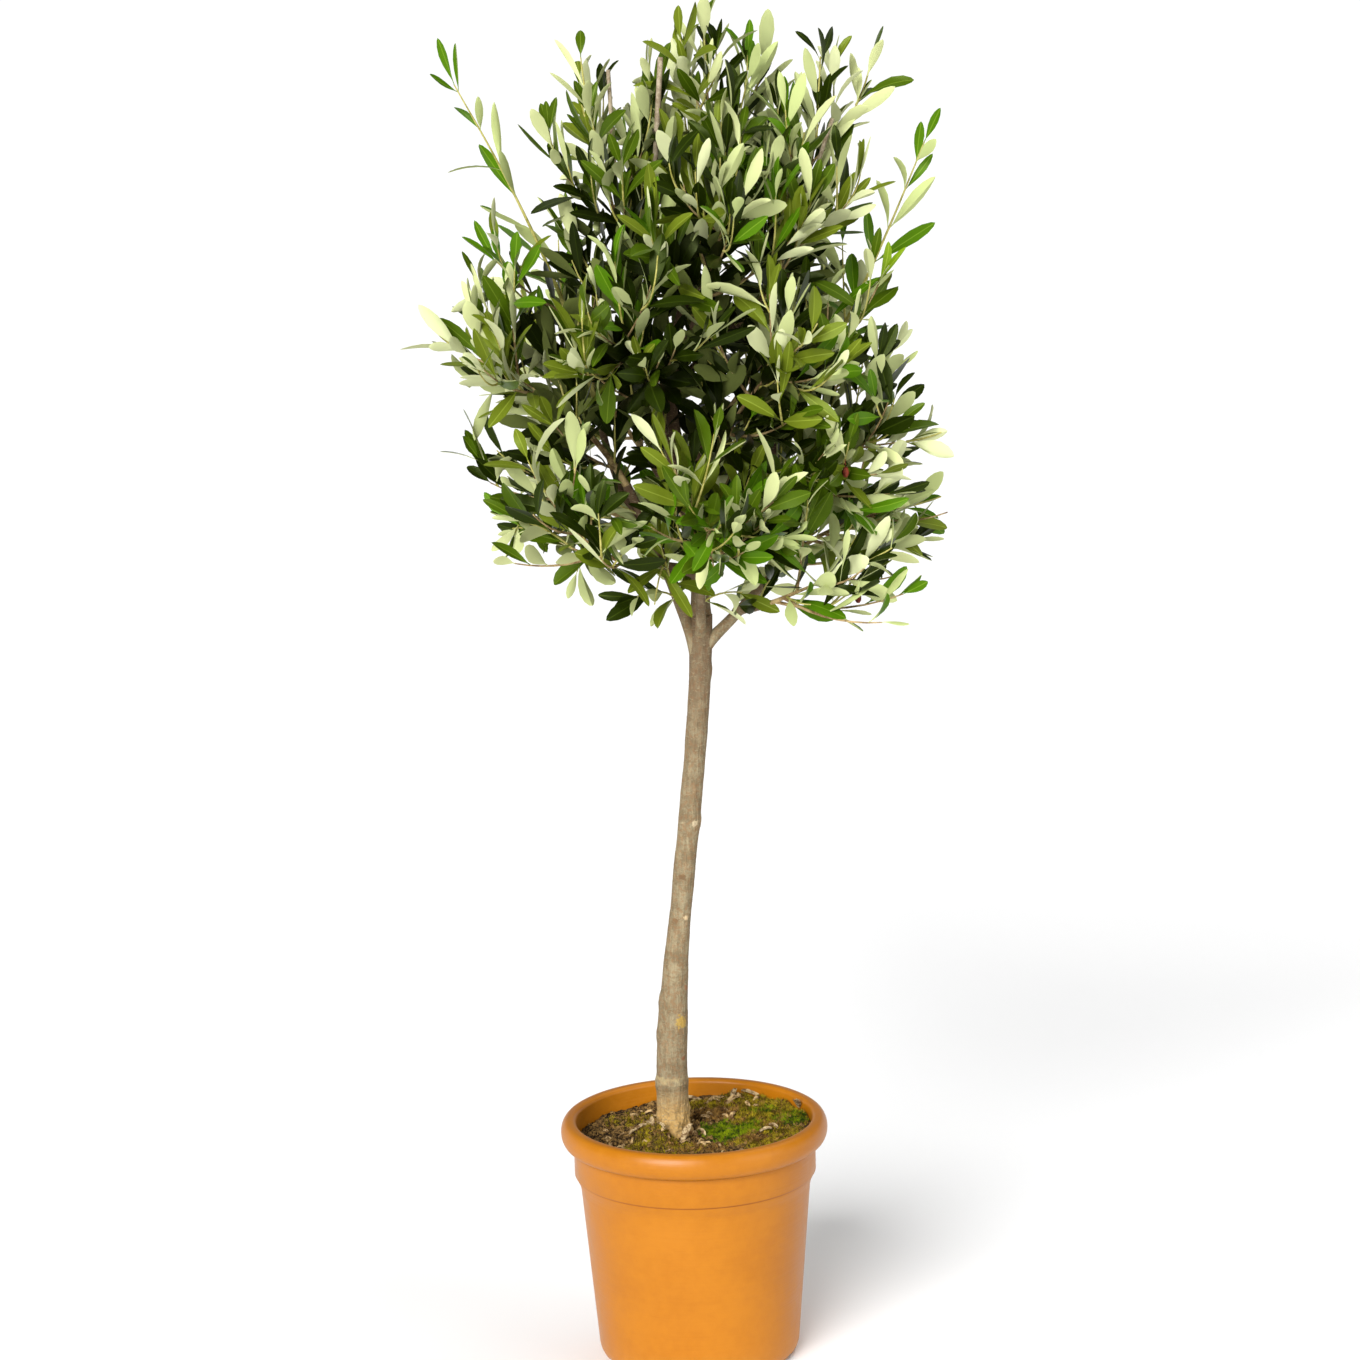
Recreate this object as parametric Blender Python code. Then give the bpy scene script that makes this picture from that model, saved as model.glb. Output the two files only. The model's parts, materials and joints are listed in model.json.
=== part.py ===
"""A young olive grown as a standard: a round, loose crown on a bare stem, in a plastic nursery pot.

Metres, +Z up. The origin is the middle of the pot's flat underside and -Y is the front.
The pot and its compost are turned shapes, the stem and boughs are tapering tubes, and each
mass of foliage is one stem whose twigs and leaves are grown by the same seeded rule and
joined into one closed body.
"""

import math
import random
from dataclasses import dataclass

import bmesh
import bpy
from mathutils import Vector
from mathutils.bvhtree import BVHTree

# Driving dimensions, in metres. GAP is what two touching pieces keep between them.
GAP = 0.0003

# The pot, from its lip down to its foot.
POT_HEIGHT = 0.193
POT_RIM_RADIUS = 0.105
POT_COLLAR_RADIUS = 0.0952
POT_WALL_TOP_RADIUS = 0.0904
POT_WALL_FOOT_RADIUS = 0.0797
POT_FOOT_RADIUS = 0.0715
POT_WALL = 0.0023
POT_FLOOR = 0.0028
OPENING_RADIUS = POT_COLLAR_RADIUS - POT_WALL
LIP_HEIGHT = 0.020
LIP_WIDTH = 0.0060
LIP_ROUND = 0.0035
SHOULDER_TOP = 0.149
SHOULDER_FOOT = 0.137
CORNER_HEIGHT = 0.013
POT_SEGMENTS = 36
DRAIN_COUNT = 8
DRAIN_WIDTH = 0.012
DRAIN_HEIGHT = 0.005

# The compost's top is a grid of rings and sectors, and moss lies on patches of that grid.
SOIL_LEVEL = POT_HEIGHT - 0.0145
SOIL_SLOPE = 0.055
SOIL_LUMP = 0.0016
SOIL_RINGS = 7
POT_CLEARANCE = 0.00045
MOSS_EDGE = 0.0012
MOSS_MATS = (("moss_right", (-5, 7), (4, 7), 0.0048), ("moss_front", (23, 29), (4, 6), 0.0036))

# The bare stem leans a little to the right and thins over its lower third.
TRUNK_FOOT = Vector((-0.0165, -0.007, SOIL_LEVEL + GAP))
TRUNK_TOP = Vector((0.0155, 0.0, 0.592))
TRUNK_FOOT_RADIUS = 0.0122
TRUNK_TOP_RADIUS = 0.0084
TRUNK_SIDES = 12
TRUNK_RINGS = 22
FLARE = 0.0068
FLARE_HEIGHT = 0.010
ROOT_LOBES = 5

# The crown is a ball that its outermost shoots stand out of.
CROWN_AXIS = Vector((0.012, 0.0, 0.0))
CROWN_CENTRE = Vector((0.004, 0.0, 0.785))
CROWN_RADIUS = 0.176
CROWN_HALF_HEIGHT = 0.190
CROWN_REACH = 0.214
CROWN_TOP = 1.068
SPRAY_RADIUS = 0.065
UP = Vector((0.0, 0.0, 1.0))
GOLDEN_ANGLE = math.radians(137.5)

# Limbs, stems and twigs are tubes: how many sides and points each has, and how twigs and leaves grow.
LIMB_SIDES = 6
LIMB_POINTS = 6
STEM_SIDES = 5
STEM_POINTS = 6
TWIG_SIDES = 3
TWIG_POINTS = 3
BARE_SHARE = 0.15
TWIG_LENGTH = 0.080
TWIG_ROOT_RADIUS = 0.0015
TWIG_TIP_RADIUS = 0.0009
TWIG_SPREAD = math.radians(52)
TWIG_LIFT = 0.32
NODE_SPACING = 0.0205
LEAF_LENGTH = 0.068
LEAF_WIDTH = 0.0255
LEAF_THICKNESS = 0.0020
LEAF_ARCH = 0.045
LEAF_SPREAD = math.radians(48)
LEAF_MARGIN = 0.0023
TWIG_MARGIN = 0.0040
LIMB_CLEARANCE = 0.0012


@dataclass(frozen=True)
class Limb:
    """A bough, from a share of the way along its parent to a tip placed round the crown's axis."""

    name: str
    parent: str
    share: float
    bearing: float
    reach: float
    height: float
    rise: float
    root_radius: float
    tip_radius: float


@dataclass(frozen=True)
class Mass:
    """A mass of foliage, whose stem carries on from a bough's tip; its leaves reach past the stem's end."""

    name: str
    limb: str
    bearing: float
    reach: float
    height: float
    twigs: int
    seed: int


# Bearings are in degrees, from +X (right) through +Y (back).
LIMBS = (
    Limb("bough_leader", "trunk", 1.00, 200, 0.012, 0.722, 84, 0.0070, 0.0054),
    Limb("bough_leader_top", "bough_leader", 1.00, 60, 0.008, 0.850, 88, 0.0052, 0.0034),
    Limb("bough_right_low", "trunk", 0.955, 356, 0.058, 0.622, 42, 0.0052, 0.0030),
    Limb("bough_front_low", "trunk", 0.966, 276, 0.042, 0.632, 52, 0.0046, 0.0028),
    Limb("bough_back_low", "trunk", 0.962, 80, 0.044, 0.634, 52, 0.0048, 0.0029),
    Limb("bough_left", "trunk", 0.940, 188, 0.050, 0.692, 74, 0.0056, 0.0034),
    Limb("bough_left_arch", "bough_leader", 0.26, 215, 0.056, 0.638, 20, 0.0042, 0.0026),
    Limb("bough_left_low", "bough_leader", 0.36, 152, 0.046, 0.660, 40, 0.0040, 0.0026),
    Limb("bough_right", "bough_leader", 0.44, 340, 0.046, 0.684, 40, 0.0046, 0.0029),
    Limb("bough_front_right", "bough_leader", 0.58, 300, 0.036, 0.712, 46, 0.0042, 0.0027),
    Limb("bough_back_left", "bough_leader", 0.56, 138, 0.040, 0.704, 46, 0.0042, 0.0027),
    Limb("bough_front_left", "bough_leader", 0.74, 236, 0.038, 0.738, 44, 0.0041, 0.0027),
    Limb("bough_back_right", "bough_leader", 0.82, 48, 0.040, 0.742, 44, 0.0042, 0.0027),
    Limb("bough_far_left", "bough_left", 0.58, 158, 0.076, 0.744, 46, 0.0036, 0.0026),
    Limb("bough_far_right", "bough_right", 0.55, 14, 0.078, 0.734, 44, 0.0032, 0.0025),
    Limb("bough_right_sweep", "bough_right_low", 0.55, 322, 0.070, 0.606, 6, 0.0030, 0.0023),
    Limb("bough_left_high", "bough_leader_top", 0.16, 184, 0.034, 0.792, 52, 0.0034, 0.0026),
    Limb("bough_right_high", "bough_leader_top", 0.32, 4, 0.036, 0.812, 54, 0.0034, 0.0026),
    Limb("bough_front_high", "bough_leader_top", 0.48, 278, 0.032, 0.818, 50, 0.0032, 0.0025),
    Limb("bough_back_high", "bough_leader_top", 0.60, 96, 0.034, 0.830, 52, 0.0032, 0.0025),
)

MASSES = (
    Mass("foliage_top", "bough_leader_top", 8, 0.018, 1.000, 8, 11),
    Mass("foliage_left_high", "bough_left_high", 186, 0.070, 0.974, 7, 12),
    Mass("foliage_right_high", "bough_right_high", 358, 0.100, 0.974, 7, 13),
    Mass("foliage_front_high", "bough_front_high", 284, 0.100, 0.915, 6, 14),
    Mass("foliage_back_high", "bough_back_high", 92, 0.100, 0.925, 6, 15),
    Mass("foliage_far_left", "bough_far_left", 180, 0.170, 0.996, 7, 16),
    Mass("foliage_far_right", "bough_far_right", 2, 0.180, 0.945, 6, 17),
    Mass("foliage_left", "bough_left", 190, 0.172, 0.800, 6, 18),
    Mass("foliage_left_arch", "bough_left_arch", 213, 0.132, 0.700, 6, 19),
    Mass("foliage_left_low", "bough_left_low", 156, 0.144, 0.700, 5, 29),
    Mass("foliage_right", "bough_right", 344, 0.168, 0.726, 6, 20),
    Mass("foliage_right_low", "bough_right_low", 10, 0.172, 0.668, 6, 21),
    Mass("foliage_right_sweep", "bough_right_sweep", 330, 0.142, 0.638, 5, 22),
    Mass("foliage_front_right", "bough_front_right", 302, 0.150, 0.806, 7, 23),
    Mass("foliage_front_left", "bough_front_left", 244, 0.148, 0.818, 7, 24),
    Mass("foliage_front_low", "bough_front_low", 276, 0.142, 0.676, 7, 25),
    Mass("foliage_back_right", "bough_back_right", 50, 0.150, 0.818, 7, 26),
    Mass("foliage_back_left", "bough_back_left", 140, 0.156, 0.814, 6, 27),
    Mass("foliage_back_low", "bough_back_low", 76, 0.146, 0.676, 6, 28),
)

# Scars of pruned side shoots on the trunk: height, bearing in degrees, and how far each stands out.
KNOTS = (
    (0.548, 2, 0.0012),
    (0.430, 350, 0.0013),
    (0.392, 250, 0.0008),
    (0.352, 300, 0.0008),
    (0.290, 176, 0.0014),
    (0.262, 190, 0.0010),
    (0.222, 182, 0.0012),
)


def clear_scene():
    for obj in list(bpy.data.objects):
        bpy.data.objects.remove(obj, do_unlink=True)


def finish_of(name, colour, roughness):
    """A plain Principled material."""
    material = bpy.data.materials.new(name)
    material.use_nodes = True
    shader = material.node_tree.nodes["Principled BSDF"]
    shader.inputs["Base Color"].default_value = (*colour, 1.0)
    shader.inputs["Roughness"].default_value = roughness
    shader.inputs["Metallic"].default_value = 0.0
    return material


def add_object(name, shape, material, collection=None):
    """A new object from a bmesh, which is freed."""
    mesh = bpy.data.meshes.new(name)
    shape.to_mesh(mesh)
    shape.free()
    if material:
        mesh.materials.append(material)
    obj = bpy.data.objects.new(name, mesh)
    (collection or bpy.context.scene.collection).objects.link(obj)
    return obj


def smooth(obj, degrees=40):
    obj.data.shade_smooth()
    obj.data.set_sharp_from_angle(angle=math.radians(degrees))
    return obj


def smoothstep(value, low, high):
    share = min(max((value - low) / (high - low), 0.0), 1.0)
    return share * share * (3.0 - 2.0 * share)


def blend(a, b, share):
    return a + (b - a) * share


# --- shapes -------------------------------------------------------------------------------


def ring_frames(points, first_way=None):
    """The tangent and two normals at each point, carried along the path without twist."""
    frames = []
    side = None
    for i, _ in enumerate(points):
        ahead = points[min(i + 1, len(points) - 1)]
        behind = points[max(i - 1, 0)]
        tangent = first_way if first_way and i == 0 else (ahead - behind).normalized()
        if side is None:
            side = tangent.cross(UP if abs(tangent.z) < 0.9 else Vector((0.0, 1.0, 0.0)))
        side = (side - tangent * side.dot(tangent)).normalized()
        frames.append((tangent, side, tangent.cross(side)))
    return frames


def tube(points, radii, sides, first_way=None):
    """A closed tube with flat ends through points, as a bmesh; its first end faces back along first_way."""
    shape = bmesh.new()
    rings = []
    for point, radius, (_, side, other) in zip(points, radii, ring_frames(points, first_way)):
        angles = [2 * math.pi * k / sides for k in range(sides)]
        rings.append(
            [shape.verts.new(point + (side * math.cos(a) + other * math.sin(a)) * radius) for a in angles]
        )
    for low, high in zip(rings, rings[1:]):
        for k in range(sides):
            nxt = (k + 1) % sides
            shape.faces.new((low[k], low[nxt], high[nxt], high[k]))
    shape.faces.new(rings[0][::-1])
    shape.faces.new(rings[-1])
    bmesh.ops.recalc_face_normals(shape, faces=shape.faces)
    return shape


def leaf_blade(root, along, across, length, width):
    """A lance-shaped leaf of six faces, arched along its length, with a keel under it."""
    face_way = along.cross(across).normalized()
    edge = root + along * length * 0.48 + face_way * length * LEAF_ARCH
    corners = [
        root,
        root + along * length,
        edge + across * width / 2,
        edge - across * width / 2,
        root + along * length * 0.36 + face_way * (length * LEAF_ARCH - LEAF_THICKNESS),
    ]
    shape = bmesh.new()
    base, tip, left, right, keel = [shape.verts.new(corner) for corner in corners]
    shape.faces.new((base, left, right))
    shape.faces.new((left, tip, right))
    for end in (base, tip):
        shape.faces.new((end, left, keel))
        shape.faces.new((end, right, keel))
    bmesh.ops.recalc_face_normals(shape, faces=shape.faces)
    return shape


def turned(profile, segments):
    """A closed solid turned round Z from a profile of (radius, height) that starts and ends at radius 0."""
    shape = bmesh.new()
    verts = [shape.verts.new((radius, 0.0, height)) for radius, height in profile]
    edges = [shape.edges.new(pair) for pair in zip(verts, verts[1:])]
    bmesh.ops.spin(
        shape,
        geom=verts + edges,
        cent=(0, 0, 0),
        axis=(0, 0, 1),
        angle=2 * math.pi,
        steps=segments,
        use_duplicate=False,
    )
    bmesh.ops.remove_doubles(shape, verts=shape.verts, dist=1e-6)
    bmesh.ops.recalc_face_normals(shape, faces=shape.faces)
    return shape


# --- pot, compost and moss ------------------------------------------------------------------


def arc(centre, radii, start, end, steps):
    """Points (radius, height) on an ellipse arc, angles in degrees."""
    angles = [math.radians(blend(start, end, k / steps)) for k in range(steps + 1)]
    return [(centre[0] + radii[0] * math.cos(a), centre[1] + radii[1] * math.sin(a)) for a in angles]


def inner_wall():
    """The pot's inner side, top to bottom, as (radius, height)."""
    return [
        (OPENING_RADIUS, POT_HEIGHT - LIP_ROUND),
        (OPENING_RADIUS, SHOULDER_TOP),
        (POT_WALL_TOP_RADIUS - POT_WALL, SHOULDER_FOOT),
        (POT_WALL_FOOT_RADIUS - POT_WALL, CORNER_HEIGHT),
        (POT_FOOT_RADIUS - POT_WALL, POT_FLOOR),
    ]


def build_pot(material):
    """The pot: a flat underside, a tapering wall, a shoulder, a collar and a rolled lip."""
    corner_depth = POT_WALL_FOOT_RADIUS - POT_FOOT_RADIUS
    lip_centre = (POT_RIM_RADIUS - LIP_WIDTH, POT_HEIGHT - LIP_HEIGHT / 2)
    outside = [(0.0, 0.0)]
    outside += arc((POT_FOOT_RADIUS, CORNER_HEIGHT), (corner_depth, CORNER_HEIGHT), -90, 0, 2)
    outside += [
        (POT_WALL_TOP_RADIUS, SHOULDER_FOOT),
        (POT_COLLAR_RADIUS, SHOULDER_TOP),
        (POT_COLLAR_RADIUS, POT_HEIGHT - LIP_HEIGHT),
    ]
    outside += arc(lip_centre, (LIP_WIDTH, LIP_HEIGHT / 2), -90, 90, 5)
    profile = outside + inner_wall() + [(0.0, POT_FLOOR)]
    pot = smooth(add_object("pot", turned(profile, POT_SEGMENTS), material))
    cutter = drain_cutter()
    drains = pot.modifiers.new("drain notches", "BOOLEAN")
    drains.operation = "DIFFERENCE"
    drains.object = cutter
    return pot


def drain_cutter():
    """Blocks that cut a drain notch through the corner between wall and floor."""
    shape = bmesh.new()
    for k in range(DRAIN_COUNT):
        bearing = 2 * math.pi * (k + 0.5) / DRAIN_COUNT
        out = Vector((math.cos(bearing), math.sin(bearing), 0.0))
        across = Vector((-out.y, out.x, 0.0))
        centre = out * POT_FOOT_RADIUS
        made = bmesh.ops.create_cube(shape, size=1.0)["verts"]
        for vert in made:
            place = out * vert.co.x * 0.026 + across * vert.co.y * DRAIN_WIDTH
            vert.co = centre + place + UP * vert.co.z * DRAIN_HEIGHT * 2
    cutter = add_object("drain_cutter", shape, None)
    cutter.hide_render = True
    cutter.display_type = "WIRE"
    return cutter


def soil_height(x, y):
    """The top of the compost: flat at the trunk's foot, lumpy and rising to the right elsewhere."""
    from_trunk = math.hypot(x - TRUNK_FOOT.x, y - TRUNK_FOOT.y)
    away = smoothstep(from_trunk, 0.033, 0.058)
    lumps = SOIL_LUMP * math.sin(95 * x + 1.2) * math.cos(120 * y - 0.4)
    lumps += SOIL_LUMP / 2 * math.sin(210 * x - 150 * y)
    return SOIL_LEVEL + away * (SOIL_SLOPE * x + lumps)


def soil_point(ring, sector, lift=0.0):
    """A point of the compost's top, on a grid of rings and sectors round the pot's axis."""
    radius = (OPENING_RADIUS - POT_CLEARANCE) * ring / SOIL_RINGS
    angle = 2 * math.pi * sector / POT_SEGMENTS
    x, y = radius * math.cos(angle), radius * math.sin(angle)
    return Vector((x, y, soil_height(x, y) + lift))


def add_cell(shape, a, b, c, d):
    """A grid cell as two triangles, always on the same diagonal, so that layers lie on each other."""
    shape.faces.new((a, b, c))
    shape.faces.new((a, c, d))


def build_compost(material):
    """The compost that fills the pot up to its uneven top."""
    shape = bmesh.new()
    sectors = range(POT_SEGMENTS)
    top = [[shape.verts.new(soil_point(ring, k)) for k in sectors] for ring in range(1, SOIL_RINGS + 1)]
    side = [(r - POT_CLEARANCE, z) for r, z in inner_wall() if z < SOIL_LEVEL - 0.010]
    side[-1] = (side[-1][0], POT_FLOOR + GAP)
    for radius, height in side:
        angles = [2 * math.pi * k / POT_SEGMENTS for k in sectors]
        top.append([shape.verts.new((radius * math.cos(a), radius * math.sin(a), height)) for a in angles])
    middle = shape.verts.new(soil_point(0, 0))
    bottom = shape.verts.new((0.0, 0.0, POT_FLOOR + GAP))
    for k in sectors:
        nxt = (k + 1) % POT_SEGMENTS
        shape.faces.new((middle, top[0][k], top[0][nxt]))
        shape.faces.new((bottom, top[-1][nxt], top[-1][k]))
        for inner, outer in zip(top, top[1:]):
            add_cell(shape, inner[k], outer[k], outer[nxt], inner[nxt])
    bmesh.ops.recalc_face_normals(shape, faces=shape.faces)
    return smooth(add_object("compost", shape, material), 60)


def build_moss(name, material, sectors, rings, depth):
    """A mat of moss that lies on a patch of the compost's grid, thin at its edge."""
    shape = bmesh.new()
    low, high = {}, {}
    for i in range(sectors[0], sectors[1] + 1):
        for j in range(rings[0], rings[1] + 1):
            rim = i in sectors or j in rings
            swell = 0.72 + 0.28 * math.sin(2.1 * i + 1.3 * j) * math.cos(1.7 * j)
            low[i, j] = shape.verts.new(soil_point(j, i, GAP))
            high[i, j] = shape.verts.new(soil_point(j, i, GAP + (MOSS_EDGE if rim else depth * swell)))
    for i in range(*sectors):
        for j in range(*rings):
            corners = ((i, j), (i, j + 1), (i + 1, j + 1), (i + 1, j))
            add_cell(shape, *(high[c] for c in corners))
            add_cell(shape, *(low[c] for c in corners))
    border = [(i, rings[0]) for i in range(*sectors)] + [(sectors[1], j) for j in range(*rings)]
    border += [(i, rings[1]) for i in range(sectors[1], sectors[0], -1)]
    border += [(sectors[0], j) for j in range(rings[1], rings[0], -1)]
    for a, b in zip(border, border[1:] + border[:1]):
        shape.faces.new((low[a], low[b], high[b], high[a]))
    bmesh.ops.recalc_face_normals(shape, faces=shape.faces)
    return smooth(add_object(name, shape, material), 60)


# --- trunk and boughs -----------------------------------------------------------------------


def trunk_centre(height):
    share = smoothstep(height, 0.21, TRUNK_TOP.z + 0.013)
    return Vector((blend(TRUNK_FOOT.x, TRUNK_TOP.x, share), blend(TRUNK_FOOT.y, TRUNK_TOP.y, share), height))


def trunk_radius(height):
    """The trunk thins over its lower third, runs on even, and swells a little under the fork."""
    thinning = smoothstep(height, 0.240, 0.365)
    swell = 0.0008 * smoothstep(height, 0.555, TRUNK_TOP.z)
    return blend(TRUNK_FOOT_RADIUS, TRUNK_TOP_RADIUS, thinning) + swell


def trunk_heights():
    """Ring heights, close together in the root flare."""
    span = TRUNK_TOP.z - TRUNK_FOOT.z
    return [TRUNK_FOOT.z + span * (k / (TRUNK_RINGS - 1)) ** 1.45 for k in range(TRUNK_RINGS)]


def build_trunk(name, material, swollen=0.0):
    """The bare stem, from its flat cut on the compost to the fork, with root lobes and old scars."""
    shape = bmesh.new()
    rings = []
    for height in trunk_heights():
        centre = trunk_centre(height)
        flare = FLARE * math.exp(-(height - TRUNK_FOOT.z) / FLARE_HEIGHT)
        ring = []
        for k in range(TRUNK_SIDES):
            a = 2 * math.pi * k / TRUNK_SIDES
            lobes = 1.0 + 0.42 * math.cos(ROOT_LOBES * a + 0.6)
            radius = trunk_radius(height) + flare * lobes
            for knot_height, bearing, size in KNOTS:
                turn = math.remainder(a - math.radians(bearing), 2 * math.pi)
                radius += size * math.exp(-(((height - knot_height) / 0.008) ** 2) - (turn / 0.55) ** 2)
            out = Vector((math.cos(a), math.sin(a), 0.0))
            ring.append(shape.verts.new(centre + out * (radius + swollen)))
        rings.append(ring)
    for low, high in zip(rings, rings[1:]):
        for k in range(TRUNK_SIDES):
            nxt = (k + 1) % TRUNK_SIDES
            shape.faces.new((low[k], low[nxt], high[nxt], high[k]))
    shape.faces.new(rings[0][::-1])
    shape.faces.new(rings[-1])
    return smooth(add_object(name, shape, material), 50)


def place(bearing, reach, height):
    a = math.radians(bearing)
    return CROWN_AXIS + Vector((reach * math.cos(a), reach * math.sin(a), height))


def bend(start, way, end, pull, count):
    """Points on a smooth curve that leaves start along way and ends at end."""
    middle = start + way * (end - start).length * pull
    shares = [k / (count - 1) for k in range(count)]
    return [start * (1 - s) ** 2 + middle * 2 * s * (1 - s) + end * s * s for s in shares]


def path_at(points, share):
    """The point and direction at a share of the way along a path."""
    spot = share * (len(points) - 1)
    i = min(int(spot), len(points) - 2)
    way = (points[i + 1] - points[i]).normalized()
    return points[i].lerp(points[i + 1], spot - i), way


def limb_path(limb, paths):
    """The centreline of a limb; one that carries its parent on starts flush with the parent's end."""
    start, way = path_at(paths[limb.parent], limb.share)
    tip = place(limb.bearing, limb.reach, limb.height)
    if limb.share == 1.0:
        return bend(start + way * GAP, way, tip, 0.45, LIMB_POINTS)
    out = Vector((tip.x - start.x, tip.y - start.y, 0.0)).normalized()
    rise = math.radians(limb.rise)
    return bend(start, out * math.cos(rise) + UP * math.sin(rise), tip, 0.5, LIMB_POINTS)


def limb_radii(limb, count):
    return [blend(limb.root_radius, limb.tip_radius, (k / (count - 1)) ** 0.8) for k in range(count)]


def cut_round(obj, parent_shape):
    """Cuts a bough's root to sit against its parent, and leaves the two just clear."""
    parent_shape.hide_render = True
    cut = obj.modifiers.new("fit to parent", "BOOLEAN")
    cut.operation = "DIFFERENCE"
    cut.object = parent_shape
    apply_modifiers(obj)
    bpy.data.objects.remove(parent_shape, do_unlink=True)


def apply_modifiers(obj):
    """Puts the evaluated mesh in place of the object's own."""
    graph = bpy.context.evaluated_depsgraph_get()
    mesh = bpy.data.meshes.new_from_object(obj.evaluated_get(graph))
    obj.modifiers.clear()
    old = obj.data
    obj.data = mesh
    bpy.data.meshes.remove(old)


def build_limbs(material, paths):
    """Every bough, each cut round what it grows from."""
    for limb in LIMBS:
        path = limb_path(limb, paths)
        paths[limb.name] = path
        way = path_at(paths[limb.parent], 1.0)[1] if limb.share == 1.0 else None
        bough = add_object(limb.name, tube(path, limb_radii(limb, len(path)), LIMB_SIDES, way), material)
        if limb.share < 1.0:
            if limb.parent == "trunk":
                parent = build_trunk("parent_cutter", None, GAP * 1.4)
            else:
                parent_path = paths[limb.parent]
                parent_limb = next(item for item in LIMBS if item.name == limb.parent)
                radii = [r + GAP * 1.4 for r in limb_radii(parent_limb, len(parent_path))]
                parent = add_object("parent_cutter", tube(parent_path, radii, LIMB_SIDES), None)
            cut_round(bough, parent)
        smooth(bough, 50)


# --- foliage ----------------------------------------------------------------------------------


def distance_to_path(point, points):
    best = 1e9
    for a, b in zip(points, points[1:]):
        run = b - a
        share = min(max((point - a).dot(run) / run.length_squared, 0.0), 1.0)
        best = min(best, (point - a - run * share).length)
    return best


class Space:
    """The room that a mass keeps to: nearest to its own stem, inside the crown, and clear of limbs."""

    def __init__(self, stems, limbs):
        self.stems = stems
        self.limbs = limbs

    def holds(self, name, point, margin):
        own = distance_to_path(point, self.stems[name])
        offset = point - CROWN_CENTRE
        across = math.hypot(offset.x, offset.y)
        if across > CROWN_REACH or point.z > CROWN_TOP:
            return False
        inside = (across / CROWN_RADIUS) ** 2 + (offset.z / CROWN_HALF_HEIGHT) ** 2 < 1.0
        if own > SPRAY_RADIUS and not inside:
            return False
        for other, stem in self.stems.items():
            if other != name and distance_to_path(point, stem) < own + margin:
                return False
        return all(
            distance_to_path(point, path) > radius + LIMB_CLEARANCE for path, radius in self.limbs
        )

    def holds_all(self, name, points, margin):
        return all(self.holds(name, point, margin) for point in points)


def stem_path(mass, paths):
    """The stem of a mass, which carries on from its bough's tip."""
    start, way = path_at(paths[mass.limb], 1.0)
    tip = place(mass.bearing, mass.reach, mass.height)
    return bend(start + way * GAP, way, tip, 0.42, STEM_POINTS)


def twig_paths(mass, stem, space):
    """The side twigs of a stem: spaced along it, a golden angle apart, and turning upwards."""
    rule = random.Random(mass.seed)
    turn = rule.uniform(0, 2 * math.pi)
    for i in range(mass.twigs):
        share = blend(0.04, 0.84, (i + rule.uniform(0.2, 0.8)) / mass.twigs)
        root, way = path_at(stem, share)
        side = way.orthogonal().normalized()
        other = way.cross(side)
        turn += GOLDEN_ANGLE + rule.uniform(-0.3, 0.3)
        length = TWIG_LENGTH * rule.uniform(0.85, 1.15) * blend(1.12, 0.55, share)
        for shift, scale in ((0.0, 1.0), (0.7, 1.0), (-0.7, 1.0), (0.0, 0.7), (1.4, 0.7), (-1.4, 0.7)):
            out = side * math.cos(turn + shift) + other * math.sin(turn + shift)
            start_way = way * math.cos(TWIG_SPREAD) + out * math.sin(TWIG_SPREAD)
            end_way = (start_way + UP * TWIG_LIFT).normalized()
            twig = bend(root, start_way, root + end_way * length * scale, 0.5, TWIG_POINTS)
            if space.holds_all(mass.name, twig[1:], TWIG_MARGIN):
                yield share, twig
                break


def leaf_places(path, first, rule, spacing):
    """Root, way out and twig's own way of the leaves on a path: crossed pairs, then one at the tip."""
    length = sum((b - a).length for a, b in zip(path, path[1:]))
    turn = rule.uniform(0, math.pi)
    distance = first
    while distance < length - 0.004:
        root, way = path_at(path, distance / length)
        side = way.orthogonal().normalized()
        other = way.cross(side)
        for half in (0.0, math.pi):
            angle = turn + half + rule.uniform(-0.25, 0.25)
            yield root, side * math.cos(angle) + other * math.sin(angle), way
        turn += math.pi / 2
        distance += spacing * rule.uniform(0.9, 1.1)
    root, way = path_at(path, 0.995)
    yield root, way.orthogonal().normalized() * 0.2, way


def leaf_samples(root, along, across, length, width):
    """Places on a leaf that have to stay in its mass's space."""
    for share, half in ((0.15, 0.3), (0.3, 0.8), (0.46, 1.0), (0.64, 0.75), (0.82, 0.4), (1.0, 0.0)):
        spot = root + along * length * share
        yield spot
        if half:
            yield spot + across * width / 2 * half
            yield spot - across * width / 2 * half


def blade_shadow(root, along, across, length, width):
    """A leaf's flat outline past its root, used to see whether two leaves would cross."""
    near = root + along * length * 0.12
    edge = root + along * length * 0.48
    half = across * width / 2
    corners = [near - half * 0.2, near + half * 0.2, edge + half, root + along * length, edge - half]
    return BVHTree.FromPolygons(corners, [(0, 1, 2, 4), (2, 3, 4)])


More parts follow.
